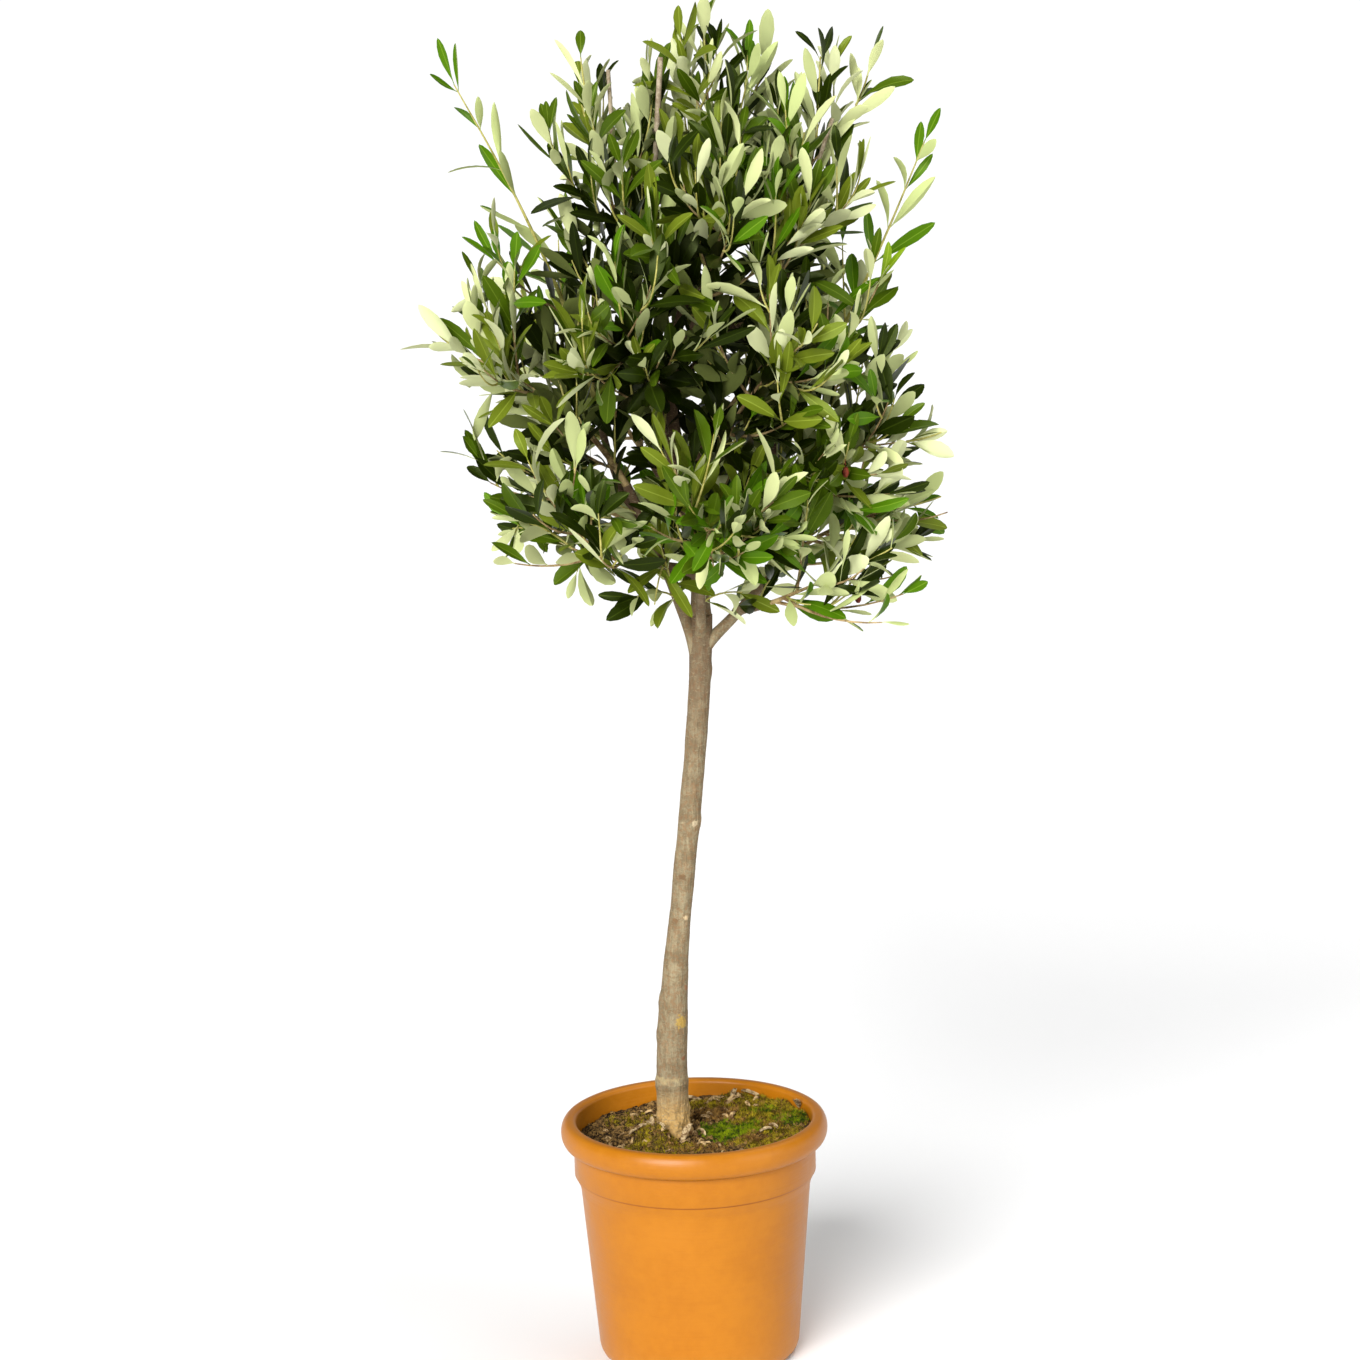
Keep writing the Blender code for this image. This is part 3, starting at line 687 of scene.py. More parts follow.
@dataclass(frozen=True)
class LeafFinish:
    """One tint of leaf: a glossy top, a paler rib and a felted underside, each of one plain colour."""

    name: str
    top: Colour
    rib: Colour
    under: Colour
    gloss: float = 0.29
    felt: float = 0.8
    shine: float = 0.17
    felt_shine: float = 0.03
    # Linear, and not screen bytes.
    shine_tint: tuple[float, ...] = (0.8, 1.0, 0.35, 1.0)

    def build(self) -> list[Material]:
        """Makes the three finishes of this tint.

        Returns:
            The materials, in the order of Surface.
        """
        glossy, felted = (self.gloss, self.shine), (self.felt, self.felt_shine)
        made = []
        for part, colour, sheen, depth, scale in (
            ("top", self.top, glossy, 0.00025, 1400.0),
            ("rib", self.rib, glossy, 0.00012, 1400.0),
            ("under", self.under, felted, 0.0002, 3000.0),
        ):
            coat = Coat(f"leaf_{self.name}_{part}")
            coat.shader.inputs["Specular Tint"].default_value = self.shine_tint
            made.append(coat.finish(colour, *sheen, coat.bumps(coat.noise(coat.place, scale), depth, 0.35)))
        return made


class Tint(Enum):
    """The tints that sprays are dealt, and last a darker copy that paints shade on the leaves deep in the
    crown.
    """

    DEEP = LeafFinish("deep", (26, 37, 2), (48, 61, 11), (178, 186, 128))
    GREEN = LeafFinish("green", (62, 83, 8), (86, 106, 26), (201, 207, 148))
    OLIVE = LeafFinish("olive", (93, 106, 24), (118, 131, 42), (205, 210, 160))
    FRESH = LeafFinish("fresh", (70, 107, 9), (98, 131, 30), (182, 193, 127))
    YOUNG = LeafFinish("young", (118, 148, 24), (148, 172, 54), (190, 199, 132))
    # Painted shade: not dealt to sprays, but given to leaves by how deep in the crown they grow.
    SHADED = LeafFinish("shaded", (15, 22, 1), (28, 38, 4), (90, 98, 50))


# --- pot ---


@dataclass
class Pot:
    """The nursery pot: a rolled lip over a collar, a tapering wall and notched drain holes."""

    height: float = 0.193
    rim_radius: float = 0.105
    collar_radius: float = 0.0952
    wall_top_radius: float = 0.0904
    wall_foot_radius: float = 0.0797
    foot_radius: float = 0.0715
    wall: float = 0.0023
    floor: float = 0.0028
    lip_height: float = 0.02
    lip_width: float = 0.006
    lip_round: float = 0.0035
    shoulder_top: float = 0.149
    shoulder_foot: float = 0.137
    corner_height: float = 0.013
    groove: float = 0.0009
    step_line: float = 0.0009
    segments: int = 180
    arc_steps: int = 14
    drain_count: int = 8
    drain_width: float = 0.012
    drain_height: float = 0.005
    drain_depth: float = 0.026

    @property
    def opening_radius(self) -> float:
        """The radius of the opening inside the collar."""
        return self.collar_radius - self.wall

    def arc(self, centre: tuple, radii: tuple, start: float, end: float) -> list[tuple]:
        """Points on an arc of an ellipse between two angles in degrees, as radius and height."""
        angles = [radians(blend(start, end, share)) for share in shares_of(self.arc_steps + 1)]
        return [(centre[0] + radii[0] * cos(a), centre[1] + radii[1] * sin(a)) for a in angles]

    def inner_wall(self) -> list[Pair]:
        """The inner side from the lip down.

        Returns:
            Its points, as radius and height.
        """
        return [
            (self.opening_radius, self.height - self.lip_round),
            (self.opening_radius, self.shoulder_top),
            (self.wall_top_radius - self.wall, self.shoulder_foot),
            (self.wall_foot_radius - self.wall, self.corner_height),
            (self.foot_radius - self.wall, self.floor),
        ]

    def profile(self) -> list[Pair]:
        """The pot's section, from the middle of its underside up its outer side and down the inner one.

        Returns:
            Its points, as radius and height.
        """
        corner_depth = self.wall_foot_radius - self.foot_radius
        lip_foot = self.height - self.lip_height
        lip_centre = (self.rim_radius - self.lip_width, self.height - self.lip_height / 2)
        inner_edge = (self.opening_radius + self.lip_round, self.height - self.lip_round)
        points = [(0.0, 0.0), (self.foot_radius * 0.5, 0.0)]
        points += self.arc((self.foot_radius, self.corner_height), (corner_depth, self.corner_height), -90, 0)
        wall_run = self.shoulder_foot - self.corner_height
        for k in range(1, 12):
            radius = blend(self.wall_foot_radius, self.wall_top_radius, k / 12)
            points.append((radius, self.corner_height + wall_run * k / 12))
        points += [
            (self.wall_top_radius, self.shoulder_foot),
            (self.wall_top_radius + 0.001, self.shoulder_foot + 0.0045),
            (self.collar_radius - 0.002, self.shoulder_top - 0.0034),
            (self.collar_radius - self.step_line * 1.6, self.shoulder_top - 0.0012),
            (self.collar_radius - self.step_line * 1.5, self.shoulder_top - 0.0006),
            (self.collar_radius - self.step_line * 0.4, self.shoulder_top - 0.0003),
            (self.collar_radius, self.shoulder_top + 0.0004),
            (self.collar_radius, lip_foot - self.groove * 2),
            (self.collar_radius - self.groove, lip_foot - self.groove),
            (self.collar_radius - self.groove * 0.4, lip_foot + self.groove * 0.3),
        ]
        points += self.arc(lip_centre, (self.lip_width, self.lip_height / 2), -90, 90)
        points += self.arc(inner_edge, (self.lip_round, self.lip_round), 90, 180)
        points += self.inner_wall()[1:]
        return points + [(0.0, self.floor)]

    def build(self, finish: PlasticFinish) -> None:
        """The pot, standing for its CAD node.

        Args:
            finish: what it is made of.
        """
        shape = bmesh.new()
        verts = [shape.verts.new((radius, 0.0, height)) for radius, height in self.profile()]
        edges = [shape.edges.new(pair) for pair in zip(verts, verts[1:])]
        turn = {"cent": (0, 0, 0), "axis": (0, 0, 1), "angle": 2 * pi, "steps": self.segments}
        bmesh.ops.spin(shape, geom=verts + edges, use_duplicate=False, **turn)
        bmesh.ops.remove_doubles(shape, verts=shape.verts, dist=1e-6)
        pot = add_object("nursery_pot", mesh_of(shape, "nursery_pot"), finish.build())
        cutter = add_object("drain_notches", self.notches())
        cut = pot.modifiers.new("drains", "BOOLEAN")
        cut.operation = "DIFFERENCE"
        cut.solver = "EXACT"
        cut.object = cutter
        bake_modifiers(pot)
        bpy.data.objects.remove(cutter, do_unlink=True)
        pot.data.shade_smooth()
        pot.data.set_sharp_from_angle(angle=radians(42))
        set_down(pot, "pot", "pot")

    def notches(self) -> Mesh:
        """Blocks that cut the drain notches through the corner of wall and floor.

        Returns:
            The blocks, as one mesh.
        """
        shape = bmesh.new()
        size = Matrix.Diagonal((self.drain_depth, self.drain_width, self.drain_height * 2, 1.0))
        for k in range(self.drain_count):
            made = bmesh.ops.create_cube(shape, size=1.0)["verts"]
            turn = Matrix.Rotation(2 * pi * (k + 0.5) / self.drain_count, 4, "Z")
            spot = Matrix.Translation(turn @ Vector((self.foot_radius, 0.0, 0.0)))
            bmesh.ops.transform(shape, matrix=spot @ turn @ size, verts=made)
        return mesh_of(shape, "drain_notches")


# --- compost and moss ---


@dataclass(frozen=True)
class Patch:
    """A soft-edged patch of the compost's top: its middle, its half sizes and its strength."""

    x: float
    y: float
    half_x: float
    half_y: float
    strength: float = 1.0

    def share(self, x: float, y: float) -> float:
        """How much of the patch there is at a place.

        Args:
            x: how far right.
            y: how far back.

        Returns:
            The share, up to the patch's strength.
        """
        wander = noise.noise(Vector((x * 70, y * 70, self.x * 900))) * 0.35
        away = hypot((x - self.x) / self.half_x, (y - self.y) / self.half_y) + wander
        return self.strength * (1.0 - smoothstep(away, 0.7, 1.12))


@dataclass(frozen=True)
class Clod:
    """A small rounded heap on the compost: its middle, its radius and its height."""

    x: float
    y: float
    radius: float
    height: float


@dataclass(frozen=True)
class Flake:
    """A curled flake of bark: its middle, its length, its bearing and its lean in degrees."""

    x: float
    y: float
    length: float
    bearing: float
    lean: float


class Cover(Enum):
    """What lies on the compost, by the name of the density attribute that places it."""

    CRUMBS = "crumbs"
    CHIPS = "chips"
    BRIGHT_MOSS = "bright_moss"
    OLIVE_MOSS = "olive_moss"
    DRY_MOSS = "dry_moss"


@dataclass
class Compost:
    """The compost that fills the pot, with crumbs, bark and three kinds of moss on it."""

    pot: Pot
    trunk_foot: Vector
    clearance: float = 0.00045
    level_below_rim: float = 0.0145
    slope: float = 0.055
    lump: float = 0.0016
    bottom_gap: float = 0.0003
    side_drop: float = 0.01
    crumb_depth: float = 0.0015
    moss_depth: float = 0.0032
    mound_height: float = 0.0046
    mound_reach: float = 0.02
    mound_width: float = 0.0085
    rings: int = 90
    sectors: int = 220
    small_clods: int = 44
    clod_seed: int = 61
    clod_reach: float = 0.088
    clod_gap: float = 0.034
    soil: EarthFinish = EarthFinish(
        "compost", (26, 17, 8), (98, 74, 42), 60.0, 500.0, 0.14, 0.96, stains=(
            ("dry_moss", (104, 78, 42)),
            ("olive_moss", (84, 72, 22)),
            ("bright_moss", (70, 84, 14)),
        )
    )
    crumbs: EarthFinish = EarthFinish("crumbs", (30, 18, 6), (134, 104, 58), 210.0, 900.0, 0.07)
    chips: EarthFinish = EarthFinish("bark_chips", (84, 58, 30), (190, 160, 112), 130.0, 800.0, 0.08, 0.85)
    bark: EarthFinish = EarthFinish("bark_flakes", (104, 78, 48), (192, 170, 130), 300.0, 900.0, 0.09, 0.85)
    bright_moss: EarthFinish = EarthFinish("bright_moss", (42, 66, 1), (124, 140, 8), 160.0, spread=0.08)
    olive_moss: EarthFinish = EarthFinish("olive_moss", (80, 66, 4), (162, 142, 30), 160.0, spread=0.08)
    dry_moss: EarthFinish = EarthFinish("dry_moss", (88, 58, 22), (158, 120, 60), 140.0, spread=0.08)
    clods: tuple[Clod, ...] = (
        Clod(-0.03, -0.025, 0.0088, 0.011),
        Clod(-0.039, -0.01, 0.008, 0.005),
        Clod(0.004, 0.008, 0.008, 0.0034),
        Clod(0.03, 0.06, 0.012, 0.003),
        Clod(0.07, -0.012, 0.01, 0.0022),
    )
    flakes: tuple[Flake, ...] = (
        Flake(-0.0055, -0.03, 0.017, 48.0, 48.0),
        Flake(0.006, -0.016, 0.009, 120.0, 20.0),
        Flake(-0.033, -0.0215, 0.009, 100.0, 36.0),
        Flake(-0.026, -0.0285, 0.007, 150.0, 40.0),
        Flake(-0.041, -0.013, 0.012, 30.0, 8.0),
        Flake(-0.002, 0.084, 0.017, 168.0, 6.0),
        Flake(0.046, 0.078, 0.016, 150.0, 10.0),
        Flake(0.033, 0.07, 0.011, 70.0, 24.0),
        Flake(0.056, -0.022, 0.01, 20.0, 8.0),
        Flake(0.062, -0.014, 0.0085, 140.0, 12.0),
        Flake(-0.048, -0.01, 0.008, 40.0, 10.0),
        Flake(-0.036, 0.016, 0.009, 110.0, 14.0),
        Flake(0.082, 0.03, 0.015, 250.0, 40.0),
    )
    bright: tuple[Patch, ...] = (
        Patch(0.03, -0.008, 0.027, 0.024, 0.9),
        Patch(0.076, 0.012, 0.013, 0.02, 0.8),
        Patch(0.052, 0.034, 0.016, 0.01, 0.5),
    )
    olive: tuple[Patch, ...] = (
        Patch(0.062, 0.026, 0.034, 0.036),
        Patch(0.028, 0.066, 0.04, 0.018, 0.8),
        Patch(0.06, -0.04, 0.03, 0.034, 0.8),
        Patch(-0.03, -0.046, 0.04, 0.02, 0.6),
        Patch(-0.034, -0.016, 0.014, 0.022, 0.7),
        Patch(-0.05, 0.04, 0.024, 0.02, 0.3),
    )
    dry: tuple[Patch, ...] = (
        Patch(0.02, 0.036, 0.022, 0.016),
        Patch(0.046, -0.03, 0.014, 0.01),
        Patch(0.062, 0.0, 0.012, 0.01, 0.8),
        Patch(0.004, -0.046, 0.022, 0.012, 0.7),
    )

    def __post_init__(self) -> None:
        """Adds small clods at random to the placed ones."""
        rule = random.Random(self.clod_seed)
        for _ in range(self.small_clods):
            angle, reach = rule.uniform(0, 2 * pi), self.clod_reach * sqrt(rule.random())
            x, y = reach * cos(angle), reach * sin(angle)
            clod = Clod(x, y, rule.uniform(0.0035, 0.007), rule.uniform(-0.0024, 0.0034))
            if self.from_trunk(x, y) > self.clod_gap:
                self.clods += (clod,)

    @property
    def level(self) -> float:
        """The compost's height at the trunk's foot."""
        return self.pot.height - self.level_below_rim

    def from_trunk(self, x: float, y: float) -> float:
        """How far a place lies from the middle of the trunk's foot."""
        return hypot(x - self.trunk_foot.x, y - self.trunk_foot.y)

    def soil_height(self, x: float, y: float) -> float:
        """The bare compost: flat at the trunk's foot, lumpy and rising to the right elsewhere.

        Args:
            x: how far right.
            y: how far back.

        Returns:
            The height.
        """
        lumps = self.lump * sin(95 * x + 1.2) * cos(120 * y - 0.4)
        lumps += self.lump / 2 * sin(210 * x - 150 * y)
        return self.level + smoothstep(self.from_trunk(x, y), 0.033, 0.058) * (self.slope * x + lumps)

    def cover_at(self, x: float, y: float) -> dict[Cover, float]:
        """How densely each kind of cover lies at a place.

        Args:
            x: how far right.
            y: how far back.

        Returns:
            A density from 0 to 1 for each kind.
        """
        kinds = (self.bright, self.olive, self.dry)
        bright, olive, dry = (max(patch.share(x, y) for patch in patches) for patches in kinds)
        olive *= 1.0 - 0.75 * bright
        moss = min(bright + olive, 1.0)
        pile = 1.0 - smoothstep(hypot(x - 0.034, y - 0.074), 0.014, 0.034)
        chips = pile + 0.22 * (1.0 - moss) + 0.5 * self.mound_share(x, y)
        away = hypot(x, y) - self.pot.opening_radius
        inside = 1.0 - smoothstep(away, -0.0035, -0.002)
        return {
            Cover.CRUMBS: (1.0 - 0.85 * moss) * inside,
            Cover.CHIPS: min(chips, 1.0) * (1.0 - smoothstep(away, -0.0105, -0.0085)),
            Cover.BRIGHT_MOSS: bright * (1.0 - 0.8 * dry) * inside,
            Cover.OLIVE_MOSS: olive * (1.0 - 0.8 * dry) * inside,
            Cover.DRY_MOSS: max(dry, 0.25 * olive) * inside,
        }

    def mound_share(self, x: float, y: float) -> float:
        """How high crumbs and moss are heaped round the trunk's foot, from 0 to 1."""
        ring = exp(-(((self.from_trunk(x, y) - self.mound_reach) / self.mound_width) ** 2))
        return ring * (0.62 + 0.6 * noise.noise(Vector((x * 90, y * 90, 7.0))))

    def top_height(self, x: float, y: float, cover: dict[Cover, float]) -> float:
        """The finished top: crumbly, heaped, and swelling where moss lies on it.

        Args:
            x: how far right.
            y: how far back.
            cover: what lies there.

        Returns:
            The height.
        """
        near_wall = smoothstep(hypot(x, y), self.pot.opening_radius - 0.006, self.pot.opening_radius)
        moss = min(sum(cover[kind] for kind in (Cover.BRIGHT_MOSS, Cover.OLIVE_MOSS, Cover.DRY_MOSS)), 1.0)
        spot = Vector((x, y, 0.0))
        crumbs = noise.fractal(spot * 210, 0.8, 2.1, 4) * self.crumb_depth
        cushion = (0.55 + 0.45 * noise.noise(spot * 120)) * self.moss_depth * moss
        heap = self.mound_height * self.mound_share(x, y)
        heap += sum(c.height * exp(-(((x - c.x) ** 2 + (y - c.y) ** 2) / c.radius**2)) for c in self.clods)
        return self.soil_height(x, y) + crumbs + heap + cushion * (1.0 - near_wall)

    def build_ground(self) -> Object:
        """The body of the compost, with an attribute for each kind of cover.

        Returns:
            The piece.
        """
        shape = bmesh.new()
        layers = {kind: shape.verts.layers.float.new(kind.value) for kind in Cover}

        def ground_vert(radius: float, angle: float) -> BMVert:
            """A new point of the top, with its cover.

            Args:
                radius: how far out it is.
                angle: its bearing.

            Returns:
                The point.
            """
            x, y = radius * cos(angle), radius * sin(angle)
            cover = self.cover_at(x, y)
            vert = shape.verts.new((x, y, self.top_height(x, y, cover)))
            for kind, layer in layers.items():
                vert[layer] = cover[kind]
            return vert

        reach = self.pot.opening_radius - self.clearance
        lowest = self.pot.floor + self.bottom_gap
        angles = round_turn(self.sectors)
        radii = [reach * ring / self.rings for ring in range(1, self.rings + 1)]
        rows = [[ground_vert(radius, a) for a in angles] for radius in radii]
        side = [(r - self.clearance, z) for r, z in self.pot.inner_wall() if z < self.level - self.side_drop]
        side[-1] = (side[-1][0], lowest)
        rows += [[shape.verts.new((r * cos(a), r * sin(a), z)) for a in angles] for r, z in side]
        middle = ground_vert(0.0, 0.0)
        bottom = shape.verts.new((0.0, 0.0, lowest))
        for k in range(self.sectors):
            following = (k + 1) % self.sectors
            shape.faces.new((middle, rows[0][k], rows[0][following]))
            shape.faces.new((bottom, rows[-1][following], rows[-1][k]))
            for inner, outer in zip(rows, rows[1:]):
                shape.faces.new((inner[k], outer[k], outer[following], inner[following]))
        ground = add_object("compost_ground", mesh_of(shape, "compost_ground"), self.soil.build())
        ground.data.shade_smooth()
        return ground

    def flake_mesh(self, flake: Flake) -> Mesh:
        """One flake of bark, curled across and along, lying on the compost.

        Args:
            flake: its place and size.

        Returns:
            The mesh.
        """
        rule = random.Random(int(flake.length * 1e5))
        rows, across, thick = 8, (-1.0, -0.5, 0.0, 0.5, 1.0), 0.0007
        lean = radians(flake.lean)
        x, y = flake.x, flake.y
        height = self.top_height(x, y, self.cover_at(x, y)) + flake.length / 2 * sin(lean)
        turn = Matrix.Rotation(radians(flake.bearing), 4, "Z") @ Matrix.Rotation(-lean, 4, "Y")
        place = Matrix.Translation((x, y, height + 0.0006)) @ turn
        swells = [sin(pi * blend(0.1, 0.92, along)) ** 0.6 for along in shares_of(rows)]
        wide = flake.length * 0.19
        halves = [[wide * swell * rule.uniform(0.85, 1.1) for swell in swells] for _ in range(2)]
        rings = []
        for along, low, high in zip(shares_of(rows), *halves):
            ring = []
            for half, side, steps in ((low, 0.0, across[::-1]), (high, thick, across)):
                rise = 0.0012 * sin(pi * along) + side
                x = (along - 0.5) * flake.length
                ring += [place @ Vector((x, half * step, 0.0011 * step**2 + rise)) for step in steps]
            rings.append(np.array(ring))
        return mesh_from_rings("flake", rings)

    def build(self) -> None:
        """The compost and everything on it."""
        ground = self.build_ground()
        tufts = tuft_shapes()
        pieces = [scatter(ground, sowing) for sowing in (
            Sowing(Cover.CRUMBS, crumb_shapes(), self.crumbs, 200_000, (0.4, 1.9), 1.0, 3),
            Sowing(Cover.CHIPS, chip_shapes(), self.chips, 16_000, (0.5, 1.25), 0.2, 5),
            Sowing(Cover.BRIGHT_MOSS, tufts, self.bright_moss, 420_000, (0.7, 2.0), 0.32, 7),
            Sowing(Cover.OLIVE_MOSS, tufts, self.olive_moss, 360_000, (0.7, 2.0), 0.32, 8),
            Sowing(Cover.DRY_MOSS, tufts, self.dry_moss, 240_000, (0.7, 2.0), 0.32, 9),
        )]
        mesh = join_meshes("bark_flakes", [self.flake_mesh(flake) for flake in self.flakes])
        flakes = add_object("bark_flakes", mesh, self.bark.build())
        flakes.data.set_sharp_from_angle(angle=radians(50))
        for piece in (ground, flakes, *pieces[:2]):
            set_down(piece, "compost", "compost")
        for piece in pieces[2:]:
            set_down(piece, "moss", "moss_right", "moss_front")


def crumb_shapes() -> list[Mesh]:
    """A few lumps of compost, about 2 mm across.

    Returns:
        The meshes.
    """
    meshes = []
    for seed in range(40, 44):
        rule = random.Random(seed)
        shape = bmesh.new()
        bmesh.ops.create_icosphere(shape, subdivisions=1, radius=0.0011)
        for vert in shape.verts:
            vert.co *= rule.uniform(0.6, 1.3)
            vert.co.z *= 0.7
        meshes.append(mesh_of(shape, f"crumb_{seed}"))
    return meshes


def chip_shapes() -> list[Mesh]:
    """A few slivers of bark, from 5 to 13 mm long, broken at their ends.

    Returns:
        The meshes.
    """
    meshes = []
    for seed in range(60, 64):
        rule = random.Random(seed)
        long, wide = rule.uniform(0.005, 0.013), rule.uniform(0.0024, 0.0042)
        thick = rule.uniform(0.0008, 0.0015)
        shape = bmesh.new()
        rows = []
        for share in shares_of(5):
            half = wide / 2 * (0.45 + 0.55 * sin(pi * blend(0.12, 0.9, share))) * rule.uniform(0.75, 1.15)
            x, rise = long * (share - 0.5), thick * (1.6 * sin(pi * share) + rule.uniform(-0.3, 0.3))
            corners = ((-half, 0.0), (half, 0.0), (half * 0.8, thick), (-half * 0.8, thick))
            rows.append([shape.verts.new((x, y, z + rise)) for y, z in corners])
        for low, high in zip(rows, rows[1:]):
            for i in range(4):
                shape.faces.new((low[i], low[(i + 1) % 4], high[(i + 1) % 4], high[i]))
        shape.faces.new(rows[0])
        shape.faces.new(rows[-1])
        meshes.append(mesh_of(shape, f"chip_{seed}"))
    return meshes


def tuft_shapes() -> list[Mesh]:
    """A few moss tufts, each of several slim pointed blades about 2 mm high.

    Returns:
        The meshes.
    """
    meshes = []
    blades = 6
    for seed in range(80, 83):
        rule = random.Random(seed)
        shape = bmesh.new()
        for k in range(blades):
            turn = 2 * pi * (k + rule.uniform(-0.3, 0.3)) / blades
            out = Vector((cos(turn), sin(turn), 0.0))
            across = Vector((-out.y, out.x, 0.0)) * 0.00026
            foot = out * 0.0003 - UP * 0.0006
            tip = out * rule.uniform(0.0006, 0.0015) + UP * rule.uniform(0.001, 0.0021)
            corners = (foot + out * 0.0003, foot - across, foot + across, tip)
            back, left, right, end = (shape.verts.new(corner) for corner in corners)
            for face in ((left, right, end), (right, back, end), (back, left, end), (left, back, right)):
                shape.faces.new(face)
        meshes.append(mesh_of(shape, f"tuft_{seed}"))
    return meshes


@dataclass(frozen=True)
class Sowing:
    """How small shapes are scattered over the ground: how many lie on a square metre where the cover's
    attribute is 1, their least and greatest scale, and how far they tumble: at 1 they lie any way up."""

    cover: Cover
    shapes: Sequence[Mesh]
    finish: EarthFinish
    density: float
    sizes: Pair
    tumble: float
    seed: int


def scatter(ground: Object, sowing: Sowing) -> Object:
    """Makes one piece of many small shapes by Geometry Nodes.

    Args:
        ground: what they lie on.
        sowing: how they are scattered.

    Returns:
        The piece.
    """
    kind = sowing.cover.value
    choices = bpy.data.collections.new(f"{kind}_shapes")
    for mesh in sowing.shapes:
        choices.objects.link(bpy.data.objects.new(mesh.name, mesh))
    values = {
        "Cover": kind,
        "Shapes": choices,
        "Density": float(sowing.density),
        "Smallest": sowing.sizes[0],
        "Largest": sowing.sizes[1],
        "Tumble": sowing.tumble * pi,
        "Seed": sowing.seed,
        "Finish": sowing.finish.build(),
    }
    piece = run_tree(add_object(f"{kind}_cover", ground.data.copy()), scatter_tree(), values)
    for obj in list(choices.objects):
        bpy.data.objects.remove(obj, do_unlink=True)
    bpy.data.collections.remove(choices)
    for name in {cover.value for cover in Cover} & set(piece.data.attributes.keys()):
        piece.data.attributes.remove(piece.data.attributes[name])
    return piece


@cache
def scatter_tree() -> NodeTree:
    """The Geometry Nodes tree that scatters.

    Returns:
        The tree.
    """
    inputs = {"Geometry": "Geometry", "Cover": "String", "Shapes": "Collection", "Density": 1000.0}
    inputs |= {"Smallest": 0.5, "Largest": 1.5, "Tumble": 1.0, "Seed": 1, "Finish": "Material"}
    graph, given = new_group("scatter_cover", "GeometryNodeTree", inputs, "Geometry")
    seed, tumble = given["Seed"], given["Tumble"]
    share = graph.add("GeometryNodeInputNamedAttribute", {"Name": given["Cover"]}, data_type="FLOAT")
    density = graph.math("MULTIPLY", share[0], given["Density"])
    sown = {"Mesh": given["Geometry"], "Density": density, "Seed": seed}
    points = graph.add("GeometryNodeDistributePointsOnFaces", sown)["Points"]
    shapes = graph.add("GeometryNodeCollectionInfo", {0: given["Shapes"], 1: True, 2: True})[0]
    lean = graph.math("MULTIPLY", tumble, -1.0)
    least = graph.add("ShaderNodeCombineXYZ", {0: lean, 1: lean, 2: -pi})[0]
    most = graph.add("ShaderNodeCombineXYZ", {0: tumble, 1: tumble, 2: pi})[0]
    draw = "FunctionNodeRandomValue"
    turn = graph.add(draw, {0: least, 1: most, "Seed": seed}, data_type="FLOAT_VECTOR")[0]
    scales = {2: given["Smallest"], 3: given["Largest"], "Seed": seed}
    size = graph.add(draw, scales, data_type="FLOAT")[1]
    pick = {"Points": points, "Instance": shapes, "Pick Instance": True, "Rotation": turn, "Scale": size}
    placed = graph.add("GeometryNodeInstanceOnPoints", pick)
    real = graph.add("GeometryNodeRealizeInstances", {0: placed[0]})
    dressed = graph.add("GeometryNodeSetMaterial", {0: real[0], "Material": given["Finish"]})
    graph.add("NodeGroupOutput", {0: dressed[0]})
    return graph.tree


# --- skeleton: trunk, boughs, stems and twigs by the CAD source's rule ---


@dataclass(frozen=True)
class Limb:
    """A bough, from a share of the way along its parent to a tip round the crown's axis."""

    name: str
    parent: str
    share: float
    bearing: float
    reach: float
    height: float
    rise: float
    root_radius: float
    tip_radius: float

    @property
    def node(self) -> str:
        """Its CAD node."""
        return f"bough_{self.name}"


@dataclass(frozen=True)
class Mass:
    """A mass of foliage, whose stem carries on from a bough."""

    name: str
    limb: str
    bearing: float
    reach: float
    height: float
    twigs: int
    seed: int

    @property
    def node(self) -> str:
        """Its CAD node."""
        return f"foliage_{self.name}"


